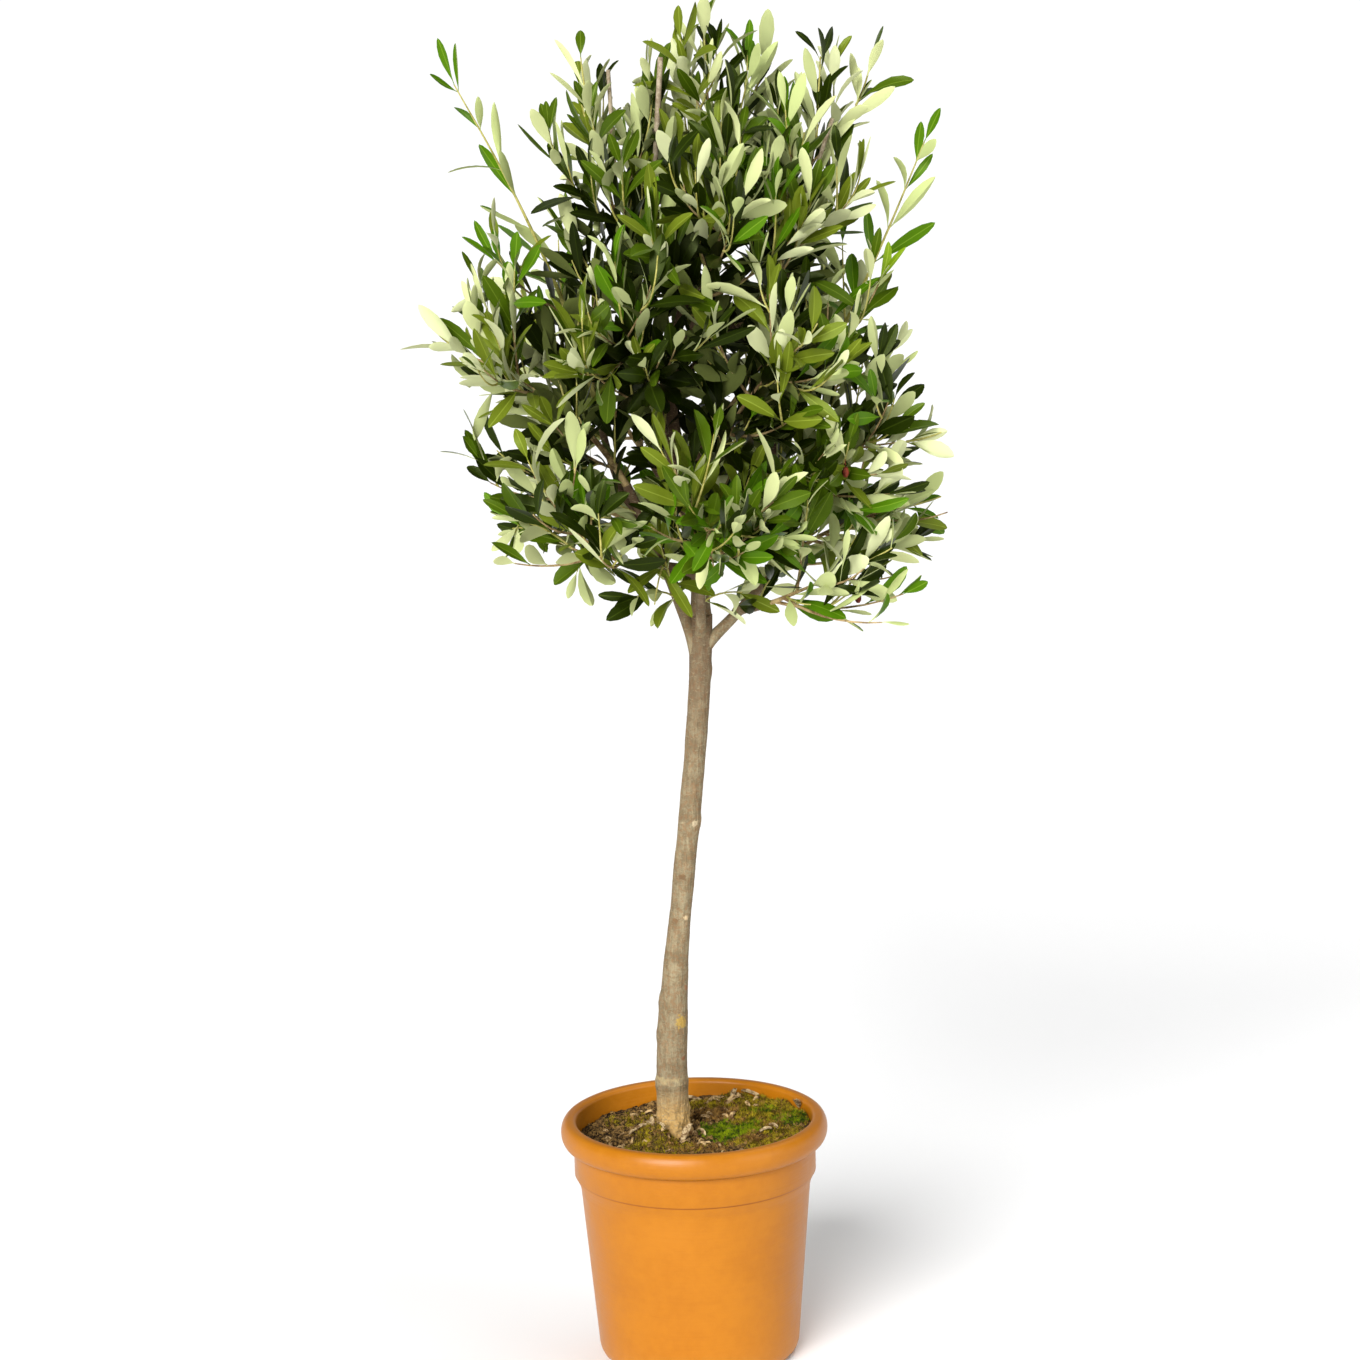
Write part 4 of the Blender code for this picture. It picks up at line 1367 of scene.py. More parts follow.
# Bearings are in degrees, from +X (right) through +Y (back).
LIMBS = (
    Limb("leader", "trunk", 1.0, 200, 0.012, 0.722, 84, 0.007, 0.0054),
    Limb("leader_top", "leader", 1.0, 60, 0.008, 0.85, 88, 0.0052, 0.0034),
    Limb("right_low", "trunk", 0.955, 356, 0.058, 0.622, 42, 0.0052, 0.003),
    Limb("front_low", "trunk", 0.966, 276, 0.042, 0.632, 52, 0.0046, 0.0028),
    Limb("back_low", "trunk", 0.962, 80, 0.044, 0.634, 52, 0.0048, 0.0029),
    Limb("left", "trunk", 0.94, 188, 0.05, 0.692, 74, 0.0056, 0.0034),
    Limb("left_arch", "leader", 0.26, 215, 0.056, 0.638, 20, 0.0042, 0.0026),
    Limb("left_low", "leader", 0.36, 152, 0.046, 0.66, 40, 0.004, 0.0026),
    Limb("right", "leader", 0.44, 340, 0.046, 0.684, 40, 0.0046, 0.0029),
    Limb("front_right", "leader", 0.58, 300, 0.036, 0.712, 46, 0.0042, 0.0027),
    Limb("back_left", "leader", 0.56, 138, 0.04, 0.704, 46, 0.0042, 0.0027),
    Limb("front_left", "leader", 0.74, 236, 0.038, 0.738, 44, 0.0041, 0.0027),
    Limb("back_right", "leader", 0.82, 48, 0.04, 0.742, 44, 0.0042, 0.0027),
    Limb("far_left", "left", 0.58, 158, 0.076, 0.744, 46, 0.0036, 0.0026),
    Limb("far_right", "right", 0.55, 14, 0.078, 0.734, 44, 0.0032, 0.0025),
    Limb("right_sweep", "right_low", 0.55, 322, 0.07, 0.606, 6, 0.003, 0.0023),
    Limb("left_high", "leader_top", 0.16, 184, 0.034, 0.792, 52, 0.0034, 0.0026),
    Limb("right_high", "leader_top", 0.32, 4, 0.036, 0.812, 54, 0.0034, 0.0026),
    Limb("front_high", "leader_top", 0.48, 278, 0.032, 0.818, 50, 0.0032, 0.0025),
    Limb("back_high", "leader_top", 0.6, 96, 0.034, 0.83, 52, 0.0032, 0.0025),
)

MASSES = (
    Mass("top", "leader_top", 8, 0.018, 1.0, 8, 11),
    Mass("left_high", "left_high", 186, 0.07, 0.974, 7, 12),
    Mass("right_high", "right_high", 358, 0.1, 0.974, 7, 13),
    Mass("front_high", "front_high", 284, 0.1, 0.915, 6, 14),
    Mass("back_high", "back_high", 92, 0.1, 0.925, 6, 15),
    Mass("far_left", "far_left", 180, 0.17, 0.996, 7, 16),
    Mass("far_right", "far_right", 2, 0.18, 0.945, 6, 17),
    Mass("left", "left", 190, 0.172, 0.8, 6, 18),
    Mass("left_arch", "left_arch", 213, 0.132, 0.7, 6, 19),
    Mass("left_low", "left_low", 156, 0.144, 0.7, 5, 29),
    Mass("right", "right", 344, 0.168, 0.726, 6, 20),
    Mass("right_low", "right_low", 10, 0.172, 0.668, 6, 21),
    Mass("right_sweep", "right_sweep", 330, 0.142, 0.638, 5, 22),
    Mass("front_right", "front_right", 302, 0.15, 0.806, 7, 23),
    Mass("front_left", "front_left", 244, 0.148, 0.818, 7, 24),
    Mass("front_low", "front_low", 276, 0.142, 0.676, 7, 25),
    Mass("back_right", "back_right", 50, 0.15, 0.818, 7, 26),
    Mass("back_left", "back_left", 140, 0.156, 0.814, 6, 27),
    Mass("back_low", "back_low", 76, 0.146, 0.676, 6, 28),
)


@dataclass
class Skeleton:
    """The paths of trunk, boughs and stems, worked out from the tables above."""

    trunk_foot: Vector = field(default_factory=lambda: Vector((-0.0165, -0.007, 0.1788)))
    trunk_top: Vector = field(default_factory=lambda: Vector((0.0155, 0.0, 0.592)))
    foot_radius: float = 0.0122
    top_radius: float = 0.0084
    crown_axis: Vector = field(default_factory=lambda: Vector((0.012, 0.0, 0.0)))
    gap: float = 0.0003
    points: int = 6
    trunk_rings: int = 22

    def __post_init__(self) -> None:
        """Works out every path."""
        low, span = self.trunk_foot.z, self.trunk_top.z - self.trunk_foot.z
        heights = [low + span * share**1.45 for share in shares_of(self.trunk_rings)]
        self.paths = {"trunk": [self.trunk_centre(height) for height in heights]}
        for limb in LIMBS:
            self.paths[limb.name] = self.limb_path(limb)
        self.stems = {mass.name: self.carried_on(mass.limb, self.tip_of(mass), 0.42) for mass in MASSES}
        self.limbs = [(self.paths["trunk"], self.top_radius)]
        self.limbs += [(self.paths[limb.name], limb.root_radius) for limb in LIMBS]

    def trunk_centre(self, height: float) -> Vector:
        """The middle of the trunk at a height."""
        share = smoothstep(height, 0.21, self.trunk_top.z + 0.013)
        return Vector((*(blend(a, b, share) for a, b in zip(self.trunk_foot.xy, self.trunk_top.xy)), height))

    def trunk_radius(self, height: float) -> float:
        """The trunk thins over its lower third, and swells a little under the fork."""
        swell = 0.0008 * smoothstep(height, 0.555, self.trunk_top.z)
        return blend(self.foot_radius, self.top_radius, smoothstep(height, 0.24, 0.365)) + swell

    def tip_of(self, tip: Limb | Mass) -> Vector:
        """Where a bough or the stem of a mass ends."""
        angle = radians(tip.bearing)
        return self.crown_axis + Vector((tip.reach * cos(angle), tip.reach * sin(angle), tip.height))

    def carried_on(self, name: str, tip: Vector, pull: float) -> list[Vector]:
        """The path to a tip that carries on from the end of a named one."""
        start, way = path_at(self.paths[name], 1.0)
        return bend(start + way * self.gap, way, tip, pull, self.points)

    def limb_path(self, limb: Limb) -> list[Vector]:
        """The centreline of a bough.

        Args:
            limb: the bough.

        Returns:
            Its points, from its root on its parent's centreline.
        """
        tip = self.tip_of(limb)
        if limb.share == 1.0:
            return self.carried_on(limb.parent, tip, 0.45)
        start, _ = path_at(self.paths[limb.parent], limb.share)
        out = Vector((tip.x - start.x, tip.y - start.y, 0.0)).normalized()
        rise = radians(limb.rise)
        return bend(start, out * cos(rise) + UP * sin(rise), tip, 0.5, self.points)


@dataclass
class Space:
    """The room that the crown keeps to: its ball, or near a stem, and clear of the boughs."""

    skeleton: Skeleton
    centre: Vector = field(default_factory=lambda: Vector((0.004, 0.0, 0.785)))
    radius: float = 0.176
    half_height: float = 0.19
    reach: float = 0.214
    top: float = 1.068
    spray_radius: float = 0.065
    twig_margin: float = 0.004
    limb_clearance: float = 0.0012

    def __post_init__(self) -> None:
        """Lays points along the boughs, for a quick test of what is near them."""
        spots = [(spot, radius) for path, radius in self.skeleton.limbs for spot in rounded(path, 4)]
        self.limb_spots, self.limb_radii = (np.array(values) for values in zip(*spots))
        bearers = [*self.skeleton.stems.values(), *(self.skeleton.paths[limb.name] for limb in LIMBS)]
        self.stem_spots = np.array([spot for path in bearers for spot in rounded(path, 5)])

    def outness(self, point: Vector) -> float:
        """How far out a point lies: 0 in the middle of the crown's ball, 1 on its surface."""
        offset = point - self.centre
        return hypot(offset.x / self.radius, offset.y / self.radius, offset.z / self.half_height)

    def within_reach(self, point: Vector) -> bool:
        """Whether a point lies within the crown's reach and under its top."""
        return hypot(point.x - self.centre.x, point.y - self.centre.y) <= self.reach and point.z <= self.top

    def holds_twig(self, name: str, point: Vector) -> bool:
        """Whether a point of a mass's own twig is in that mass's room.

        Args:
            name: the mass.
            point: the point.

        Returns:
            True if it is.
        """
        stems = self.skeleton.stems
        own = distance_to_path(point, stems[name])
        if not self.within_reach(point) or (own > self.spray_radius and self.outness(point) >= 1.0):
            return False
        reach = own + self.twig_margin
        if any(other != name and distance_to_path(point, stem) < reach for other, stem in stems.items()):
            return False
        gaps = (distance_to_path(point, path) - radius for path, radius in self.skeleton.limbs)
        return all(gap > self.limb_clearance for gap in gaps)

    def stem_gap(self, point: Vector) -> float:
        """How far a point lies from the nearest stem or bough."""
        return float(np.sqrt(((self.stem_spots - np.array(point)) ** 2).sum(1).min()))

    def holds(self, point: Vector, spray: float) -> bool:
        """Whether a point of a finer shoot or a leaf is in the crown's room.

        Args:
            point: the point.
            spray: how far from a stem it may lie outside the ball.

        Returns:
            True if it is.
        """
        if not self.within_reach(point) or (self.outness(point) >= 1.0 and self.stem_gap(point) > spray):
            return False
        gaps = np.sqrt(((self.limb_spots - np.array(point)) ** 2).sum(1)) - self.limb_radii
        return bool(gaps.min() > self.limb_clearance)


# --- bark: trunk and boughs ---


@dataclass(frozen=True)
class Knot:
    """The scar of a pruned side shoot, at a bearing in degrees."""

    height: float
    bearing: float
    size: float


@dataclass
class Bark:
    """The trunk and the boughs as meshes with the relief of their bark."""

    skeleton: Skeleton
    knots: tuple[Knot, ...] = (
        Knot(0.548, 2, 0.0012),
        Knot(0.43, 350, 0.0013),
        Knot(0.392, 250, 0.0008),
        Knot(0.352, 300, 0.0008),
        Knot(0.29, 176, 0.0014),
        Knot(0.262, 190, 0.001),
        Knot(0.222, 182, 0.0012),
    )
    flare: float = 0.003
    flare_height: float = 0.01
    root_lobes: int = 5
    root_lump: float = 0.0026
    trunk_sides: int = 84
    trunk_step: float = 0.0012
    bough_sides: int = 22
    bough_step: float = 0.0016
    ridge: float = 0.00026
    swelling: float = 0.00075
    collar: float = 0.55
    collar_length: float = 0.007
    neck: float = 0.32
    neck_length: float = 0.014
    overlap: float = 0.004
    scars: tuple[Scar, ...] = (
        Scar(0.274, 306, 0.0058, (176, 142, 60)),
        Scar(0.389, 262, 0.0034, (104, 76, 48)),
        Scar(0.354, 246, 0.003, (112, 82, 52)),
        Scar(0.356, 300, 0.0022, (205, 180, 140)),
        Scar(0.43, 300, 0.0028, (190, 172, 140)),
        Scar(0.548, 350, 0.003, (110, 84, 56)),
        Scar(0.3, 330, 0.003, (140, 92, 60)),
        Scar(0.244, 318, 0.0026, (132, 82, 52)),
    )
    bands: tuple[Band, ...] = (
        Band(0.2262, 0.004, (182, 162, 116), 0.5),
        Band(0.219, 0.0013, (96, 76, 46), 0.36),
        Band(0.233, 0.0008, (104, 86, 58), 0.35),
        Band(0.31, 0.001, (106, 88, 60), 0.35),
        Band(0.431, 0.0012, (188, 172, 138), 0.35),
        Band(0.479, 0.0008, (100, 82, 54), 0.35),
        Band(0.183, 0.006, (84, 58, 30), 0.5),
    )

    def ring(self, centre: Vector, sides: tuple[Vector, Vector], radii: Sequence[float]) -> np.ndarray:
        """Points round a limb, with the relief of its bark.

        Args:
            centre: the middle of the ring.
            sides: the two directions that span it.
            radii: the smooth radius at each point, which the relief grows with.

        Returns:
            The points.
        """
        points = []
        for angle, radius in zip(round_turn(len(radii)), radii):
            out = sides[0] * cos(angle) + sides[1] * sin(angle)
            spot = centre + out * radius
            ridges = noise.fractal(Vector((spot.x * 900, spot.y * 900, spot.z * 110)), 0.8, 2.0, 3)
            swell = noise.noise(Vector((spot.x * 60, spot.y * 60, spot.z * 45)))
            share = min(radius / self.skeleton.foot_radius, 1.0)
            points.append(centre + out * (radius + share * (self.ridge * ridges + self.swelling * swell)))
        return np.array(points)

    def trunk_reach(self, height: float, angle: float) -> float:
        """The trunk's radius with its root lobes, its knots and its growth ring.

        Args:
            height: the height.
            angle: the bearing there.

        Returns:
            The radius.
        """
        skeleton = self.skeleton
        flare = self.flare * exp(-(height - skeleton.trunk_foot.z) / self.flare_height)
        radius = skeleton.trunk_radius(height) + flare * (1.0 + 0.42 * cos(self.root_lobes * angle + 0.6))
        for knot in self.knots:
            turn = remainder(angle - radians(knot.bearing), 2 * pi)
            rise = (height - knot.height) / 0.005
            dome = exp(-(rise**2) - (turn / 0.36) ** 2)
            dimple = exp(-((rise / 0.42) ** 2) - (turn / 0.15) ** 2)
            radius += knot.size * (1.15 * dome - 0.55 * dimple)
        growth_ring = exp(-(((height - 0.2235) / 0.0035) ** 2)) * 0.0006
        low = 1.0 - smoothstep(height, 0.188, 0.216)
        lumps = noise.fractal(Vector((cos(angle) * 2.6, sin(angle) * 2.6, height * 130)), 0.7, 2.2, 3)
        return radius + growth_ring + self.root_lump * low * lumps

    def build_trunk(self) -> None:
        """The bare trunk."""
        skeleton = self.skeleton
        span = skeleton.trunk_top.z - skeleton.trunk_foot.z
        across = (Vector((1.0, 0.0, 0.0)), Vector((0.0, 1.0, 0.0)))
        rings = []
        for share in shares_of(int(span / self.trunk_step) + 1):
            height = skeleton.trunk_foot.z + span * share
            radii = [self.trunk_reach(height, angle) for angle in round_turn(self.trunk_sides)]
            rings.append(self.ring(skeleton.trunk_centre(height), across, radii))
        marks = tuple((self.on_trunk(scar), scar.radius, scar.colour) for scar in self.scars)
        finish = BarkFinish("trunk_bark", marks=marks, bands=self.bands)
        trunk = add_object("trunk_bark", mesh_from_rings("trunk_bark", rings), finish.build())
        set_down(trunk, "bark", "trunk")

    def on_trunk(self, scar: Scar) -> Vector:
        """The point of the trunk's surface where a scar lies."""
        out = Matrix.Rotation(radians(scar.bearing), 3, "Z") @ Vector((1.0, 0.0, 0.0))
        return self.skeleton.trunk_centre(scar.height) + out * self.skeleton.trunk_radius(scar.height)

    def bough_mesh(self, limb: Limb) -> Mesh:
        """One bough, swollen at its root and run on a little past its tip.

        Args:
            limb: the bough.

        Returns:
            The mesh.
        """
        path = rounded(self.skeleton.paths[limb.name], 6)
        if limb.share == 1.0:
            path.insert(0, path[0] - (path[1] - path[0]).normalized() * self.overlap)
        path.append(path[-1] + (path[-1] - path[-2]).normalized() * self.overlap / 2)
        length = path_length(path)
        shares = shares_of(int(length / self.bough_step) + 1)
        fine = [path_at(path, share)[0] for share in shares]
        swell, reach = self.collar, self.collar_length
        if limb.share == 1.0:
            swell, reach = self.neck if limb.parent == "trunk" else 0.0, self.neck_length
        rings = []
        for share, centre, sides in zip(shares, fine, side_frames(fine)):
            radius = blend(limb.root_radius, limb.tip_radius, share**0.8)
            radius *= 1.0 + swell * exp(-share * length / reach)
            rings.append(self.ring(centre, sides, [radius] * self.bough_sides))
        return mesh_from_rings(limb.name, rings)

    def build_boughs(self) -> None:
        """All the boughs as one piece."""
        mesh = join_meshes("bough_bark", [self.bough_mesh(limb) for limb in LIMBS])
        finish = BarkFinish("bough_bark", foot_heights=(0.0, 0.1), young_heights=(0.575, 0.64))
        boughs = add_object("bough_bark", mesh, finish.build())
        set_down(boughs, "bark", *(limb.node for limb in LIMBS))


# --- crown ---


class Age(Enum):
    """How old a shoot is, which sets its bark."""

    WOODY = "woody_twigs"
    GREEN = "green_shoots"
    CUT = "cut_stubs"


@dataclass(frozen=True)
class Stub:
    """A pruned branch that ends in a flat cut, and the bough or mass it grows from."""

    parent: str
    share: float
    top: Vector
    radius: float


STUBS = (
    Stub("bough_left_high", 0.96, Vector((-0.004, -0.03, 1.012)), 0.0021),
    Stub("foliage_left_high", 0.55, Vector((-0.043, -0.012, 1.004)), 0.0016),
    Stub("foliage_right_high", 0.6, Vector((0.122, -0.02, 0.964)), 0.0016),
    Stub("foliage_back_high", 0.4, Vector((0.052, 0.07, 0.985)), 0.0018),
)


@dataclass
class Shoot:
    """A tapering stem of the crown, with the tint of its leaves."""

    path: list[Vector]
    root_radius: float
    tip_radius: float
    age: Age
    tint: Tint
    mass: Mass
    first_leaf: float

    @property
    def length(self) -> float:
        """The shoot's length."""
        return path_length(self.path)


@dataclass
class Leaf:
    """One leaf: its root, its way, its upper side, its sizes and how it bends."""

    root: Vector
    along: Vector
    normal: Vector
    length: float
    width: float
    fold: float
    curl: float
    twist: float
    tint: Tint


@dataclass(frozen=True)
class Habit:
    """How a mass grows: its tints' shares, where its shoots and leaves start, and their sizes."""

    tints: tuple[float, ...] = (0.27, 0.32, 0.29, 0.12, 0.0)
    shoots: Pair = (0.12, 0.94)
    twigs_to: float = 1.0
    leaves_from: float = 0.34
    node_spacing: float = 0.016
    spray: float = 0.036
    terminal: float = 0.026
    leaf_scale: float = 1.0
    slimness: float = 1.0
    spread: float = 1.0
    lift: float = 0.0
    twig_terminal: float = 0.0
    stem: Age = Age.WOODY


FAR_LEFT_TINTS = (0.0, 0.26, 0.16, 0.44, 0.14)
FAR_RIGHT_TINTS = (0.14, 0.3, 0.38, 0.12, 0.06)
HIGH_TINTS = (0.3, 0.34, 0.24, 0.12, 0.0)
HABITS = {
    "far_left": Habit(
        FAR_LEFT_TINTS, (0.1, 0.42), 0.4, 0.22, 0.03, 0.03, 0.0, 1.2, 0.8, 1.6, stem=Age.GREEN
    ),
    "far_right": Habit(
        FAR_RIGHT_TINTS, (0.1, 0.52), 0.5, 0.25, 0.029, 0.028, 0.0, 1.12, 0.86, 1.3, stem=Age.GREEN
    ),
    "top": Habit(HIGH_TINTS, terminal=0.056, slimness=0.86, twig_terminal=0.03),
    "left": Habit(terminal=0.038),
    "right": Habit(terminal=0.036),
    "left_high": Habit(HIGH_TINTS, terminal=0.04, slimness=0.86, twig_terminal=0.03),
    "right_high": Habit(HIGH_TINTS, terminal=0.036, slimness=0.86, twig_terminal=0.03),
    "front_high": Habit(HIGH_TINTS, slimness=0.92, twig_terminal=0.024),
    "back_high": Habit(HIGH_TINTS, slimness=0.92, twig_terminal=0.024),
    "left_arch": Habit(shoots=(0.4, 0.94), leaves_from=0.5, spray=0.03, lift=-0.45),
    "left_low": Habit(shoots=(0.3, 0.94), leaves_from=0.45, spray=0.03, lift=-0.7),
    "right_sweep": Habit(shoots=(0.25, 0.94), leaves_from=0.4, node_spacing=0.019, spray=0.03),
    "right_low": Habit(shoots=(0.22, 0.94), leaves_from=0.42, spray=0.032, terminal=0.036),
}


@dataclass
class Growth:
    """Grows the crown's shoots and leaves by a seeded rule."""

    skeleton: Skeleton
    space: Space
    twig_length: float = 0.08
    twig_spread: float = radians(52)
    twig_lift: float = 0.32
    twig_tries: tuple[Pair, ...] = ((0, 1), (0.7, 1), (-0.7, 1), (0, 0.7), (1.4, 0.7), (-1.4, 0.7))
    twig_root_radius: float = 0.0015
    twig_tip_radius: float = 0.0008
    shoot_length: float = 0.054
    shoot_spacing: float = 0.031
    shoot_spread: float = radians(42)
    shoot_tries: tuple[Pair, ...] = ((0, 1), (0.8, 1), (-0.8, 0.85), (0, 0.6), (1.6, 0.7))
    shoot_lift: Pair = (0.3, 1.35)
    lift_heights: Pair = (0.64, 0.92)
    bough_span: Pair = (0.3, 1.0)
    bough_lift: float = -0.3
    inner_boughs: tuple[tuple[str, str], ...] = (
        ("leader", "top"), ("leader_top", "top"), ("left", "left"), ("leader", "front_high"),
    )
    shoot_root_radius: float = 0.001
    shoot_tip_radius: float = 0.0005
    leaf_length: float = 0.0435
    leaf_width: float = 0.0122
    leaf_spread: Pair = (radians(38), radians(27))
    leaf_slack: float = 0.014
    leaf_up: float = 0.25
    leaf_outward: float = 0.5
    shade_reach: float = 0.61
    missing: float = 0.08
    sunk: float = 0.002
    mass_seed: int = 900
    inner_seed: int = 400

    @staticmethod
    def habit(mass: Mass) -> Habit:
        """How a mass grows."""
        return HABITS.get(mass.name, Habit())

    def deal(self, mass: Mass, rule: random.Random) -> Tint:
        """Draws the tint of one spray."""
        return rule.choices(list(Tint)[:-1], self.habit(mass).tints)[0]

    def twigs(self, mass: Mass) -> Iterator[tuple[float, list[Vector]]]:
        """The side twigs of a mass's stem, a golden angle apart and turning upwards.

        Args:
            mass: the mass.

        Yields:
            How far along the stem each one grows, and its path.
        """
        rule = random.Random(mass.seed)
        turn = rule.uniform(0, 2 * pi)
        for i in range(mass.twigs):
            share = blend(0.04, 0.84, (i + rule.uniform(0.2, 0.8)) / mass.twigs)
            root, way = path_at(self.skeleton.stems[mass.name], share)
            turn += GOLDEN_ANGLE + rule.uniform(-0.3, 0.3)
            length = self.twig_length * rule.uniform(0.85, 1.15) * blend(1.12, 0.55, share)
            for shift, scale in self.twig_tries:
                out = way * cos(self.twig_spread) + sideways(way, turn + shift) * sin(self.twig_spread)
                tip = root + (out + UP * self.twig_lift).normalized() * length * scale
                if all(self.space.holds_twig(mass.name, spot) for spot in bend(root, out, tip, 0.5, 3)[1:]):
                    yield share, bend(root, out, tip, 0.5, 8)
                    break

    def lift_at(self, height: float) -> float:
        """How steeply shoots rise at a height: the higher, the steeper."""
        return blend(*self.shoot_lift, smoothstep(height, *self.lift_heights))

    def side_shoots(
        self, parent: Shoot, rule: random.Random, span: Pair, sag: float = 0.0
    ) -> Iterator[Shoot]:
        """Finer shoots along a stem, a twig or a bough.

        Args:
            parent: what they grow from.
            rule: the seeded draws.
            span: the shares of it between which they grow.
            sag: how much less steeply they rise than elsewhere.

        Yields:
            The shoots that fit in the crown's room.
        """
        habit = self.habit(parent.mass)
        turn = rule.uniform(0, 2 * pi)
        distance = parent.length * span[0] + self.shoot_spacing * rule.uniform(0.1, 0.6)
        while distance < parent.length * span[1]:
            share = distance / parent.length
            root, way = path_at(parent.path, share)
            turn += GOLDEN_ANGLE + rule.uniform(-0.3, 0.3)
            length = self.shoot_length * rule.uniform(0.7, 1.3) * blend(1.15, 0.6, share)
            lift = self.lift_at(root.z) * rule.uniform(0.4, 1.3) - sag + habit.lift
            tint = self.deal(parent.mass, rule)
            for shift, scale in self.shoot_tries:
                out = way * cos(self.shoot_spread) + sideways(way, turn + shift) * sin(self.shoot_spread)
                path = bend(root, out, root + (out + UP * lift).normalized() * length * scale, 0.5, 7)
                if self.space.holds(path[-1], habit.spray) and self.space.holds(path[3], habit.spray):
                    yield self.shoot_along(path, tint, parent.mass, 0.12)
                    break
            distance += self.shoot_spacing * rule.uniform(0.75, 1.3)

    def shoot_along(self, path: list[Vector], tint: Tint, mass: Mass, first_leaf: float) -> Shoot:
        """A green shoot along a path."""
        return Shoot(path, self.shoot_root_radius, self.shoot_tip_radius, Age.GREEN, tint, mass, first_leaf)

    def terminal_shoots(self, stem: Shoot, length: float, rule: random.Random) -> Iterator[Shoot]:
        """The young shoot that carries a stem or a twig on past its tip.

        Args:
            stem: the stem or twig.
            length: how long the shoot is.
            rule: the seeded draws.

        Yields:
            The shoot, if it has a length and fits.
        """
        root, way = path_at(stem.path, 1.0)
        end_way = (way + UP * self.lift_at(root.z) * rule.uniform(0.2, 0.6)).normalized()
        for scale in (1.0, 0.7):
            path = bend(root - way * self.sunk, way, root + end_way * length * scale, 0.5, 7)
            if length and self.space.within_reach(path[-1] + end_way * 0.01):
                yield self.shoot_along(path, stem.tint, stem.mass, 0.1)
                return

    def stubs(self) -> Iterator[Shoot]:
        """The pruned branches, each straight from what it grows on.

        Yields:
            A shoot for each.
        """
        places = {limb.node: self.skeleton.paths[limb.name] for limb in LIMBS}
        places |= {mass.node: self.skeleton.stems[mass.name] for mass in MASSES}
        for stub in STUBS:
            foot, _ = path_at(places[stub.parent], stub.share)
            path = [foot.lerp(stub.top, share) for share in shares_of(7)]
            yield Shoot(path, stub.radius * 1.15, stub.radius, Age.CUT, Tint.DEEP, MASSES[0], 1.0)

    def grow(self) -> tuple[list[Shoot], list[Leaf]]:
        """Grows the whole crown.

        Returns:
            Every shoot and every leaf.
        """
        shoots, leaves = [], []
        for mass in MASSES:
            rule = random.Random(mass.seed + self.mass_seed)
            for shoot in self.shoots_of(mass, rule):
                shoots.append(shoot)
                leaves.extend(self.leaves_on(shoot, rule))
        rule = random.Random(self.inner_seed)
        for bough, name in self.inner_boughs:
            mass = next(mass for mass in MASSES if mass.name == name)
            parent = self.bough(bough, 0.004, mass, rule)
            inner = list(self.side_shoots(parent, rule, (0.25, 1.0)))
            shoots += inner
            leaves += [leaf for shoot in inner for leaf in self.leaves_on(shoot, rule)]
        return [*shoots, *self.stubs()], leaves

    def bough(self, name: str, radius: float, mass: Mass, rule: random.Random) -> Shoot:
        """A bough as a bare stem of a mass, for finer shoots to grow from."""
        path = rounded(self.skeleton.paths[name], 3)
        return Shoot(path, radius, radius, Age.WOODY, self.deal(mass, rule), mass, 1.0)

    def shoots_of(self, mass: Mass, rule: random.Random) -> list[Shoot]:
        """The stem, the twigs and the finer shoots of a mass.

        Args:
            mass: the mass.
            rule: the seeded draws.

        Returns:
            The shoots.
        """
        habit = self.habit(mass)
        thick = next(limb.tip_radius for limb in LIMBS if limb.name == mass.limb)
        thin = self.shoot_tip_radius
        path = rounded(self.skeleton.stems[mass.name], 4)
        path.insert(0, path[0] - (path[1] - path[0]).normalized() * self.sunk)
        stem = Shoot(path, thick, thin, habit.stem, self.deal(mass, rule), mass, habit.leaves_from)
        twigs = []
        for share, path in self.twigs(mass):
            if share <= habit.twigs_to:
                radius = min(self.twig_root_radius, blend(thick, self.twig_tip_radius, share) * 0.8)
                twigs.append(Shoot(path, radius, thin, Age.WOODY, self.deal(mass, rule), mass, 0.14))
        finer = []
        for carrier in (stem, *twigs):
            finer += self.side_shoots(carrier, rule, habit.shoots)
        finer += self.terminal_shoots(stem, habit.terminal, rule)
        for twig in twigs:
            finer += self.terminal_shoots(twig, habit.twig_terminal * rule.uniform(0.6, 1.2), rule)
        bough = self.bough(mass.limb, thick, mass, rule)
        sag = self.lift_at(bough.path[-1].z) - self.bough_lift
        return [stem, *twigs, *finer, *self.side_shoots(bough, rule, self.bough_span, sag)]

    def leaves_on(self, shoot: Shoot, rule: random.Random) -> Iterator[Leaf]:
        """The leaves of a shoot: opposite pairs, each a quarter turn on, small ones at its tip.

        Args:
            shoot: what they grow on.
            rule: the seeded draws.

        Yields:
            The leaves that fit in the crown's room.
        """
        length = shoot.length
        distance = shoot.first_leaf * length
        turn = rule.uniform(0, pi)
        while distance < length:
            share = distance / length
            for half in (0.0, pi):
                yield from self.leaf(shoot, share, turn + half + rule.uniform(-0.3, 0.3), rule)
            turn += pi / 2
            distance += self.habit(shoot.mass).node_spacing * rule.uniform(0.8, 1.2) * blend(1.1, 0.75, share)
        yield from self.leaf(shoot, 1.0, 0.0, rule)

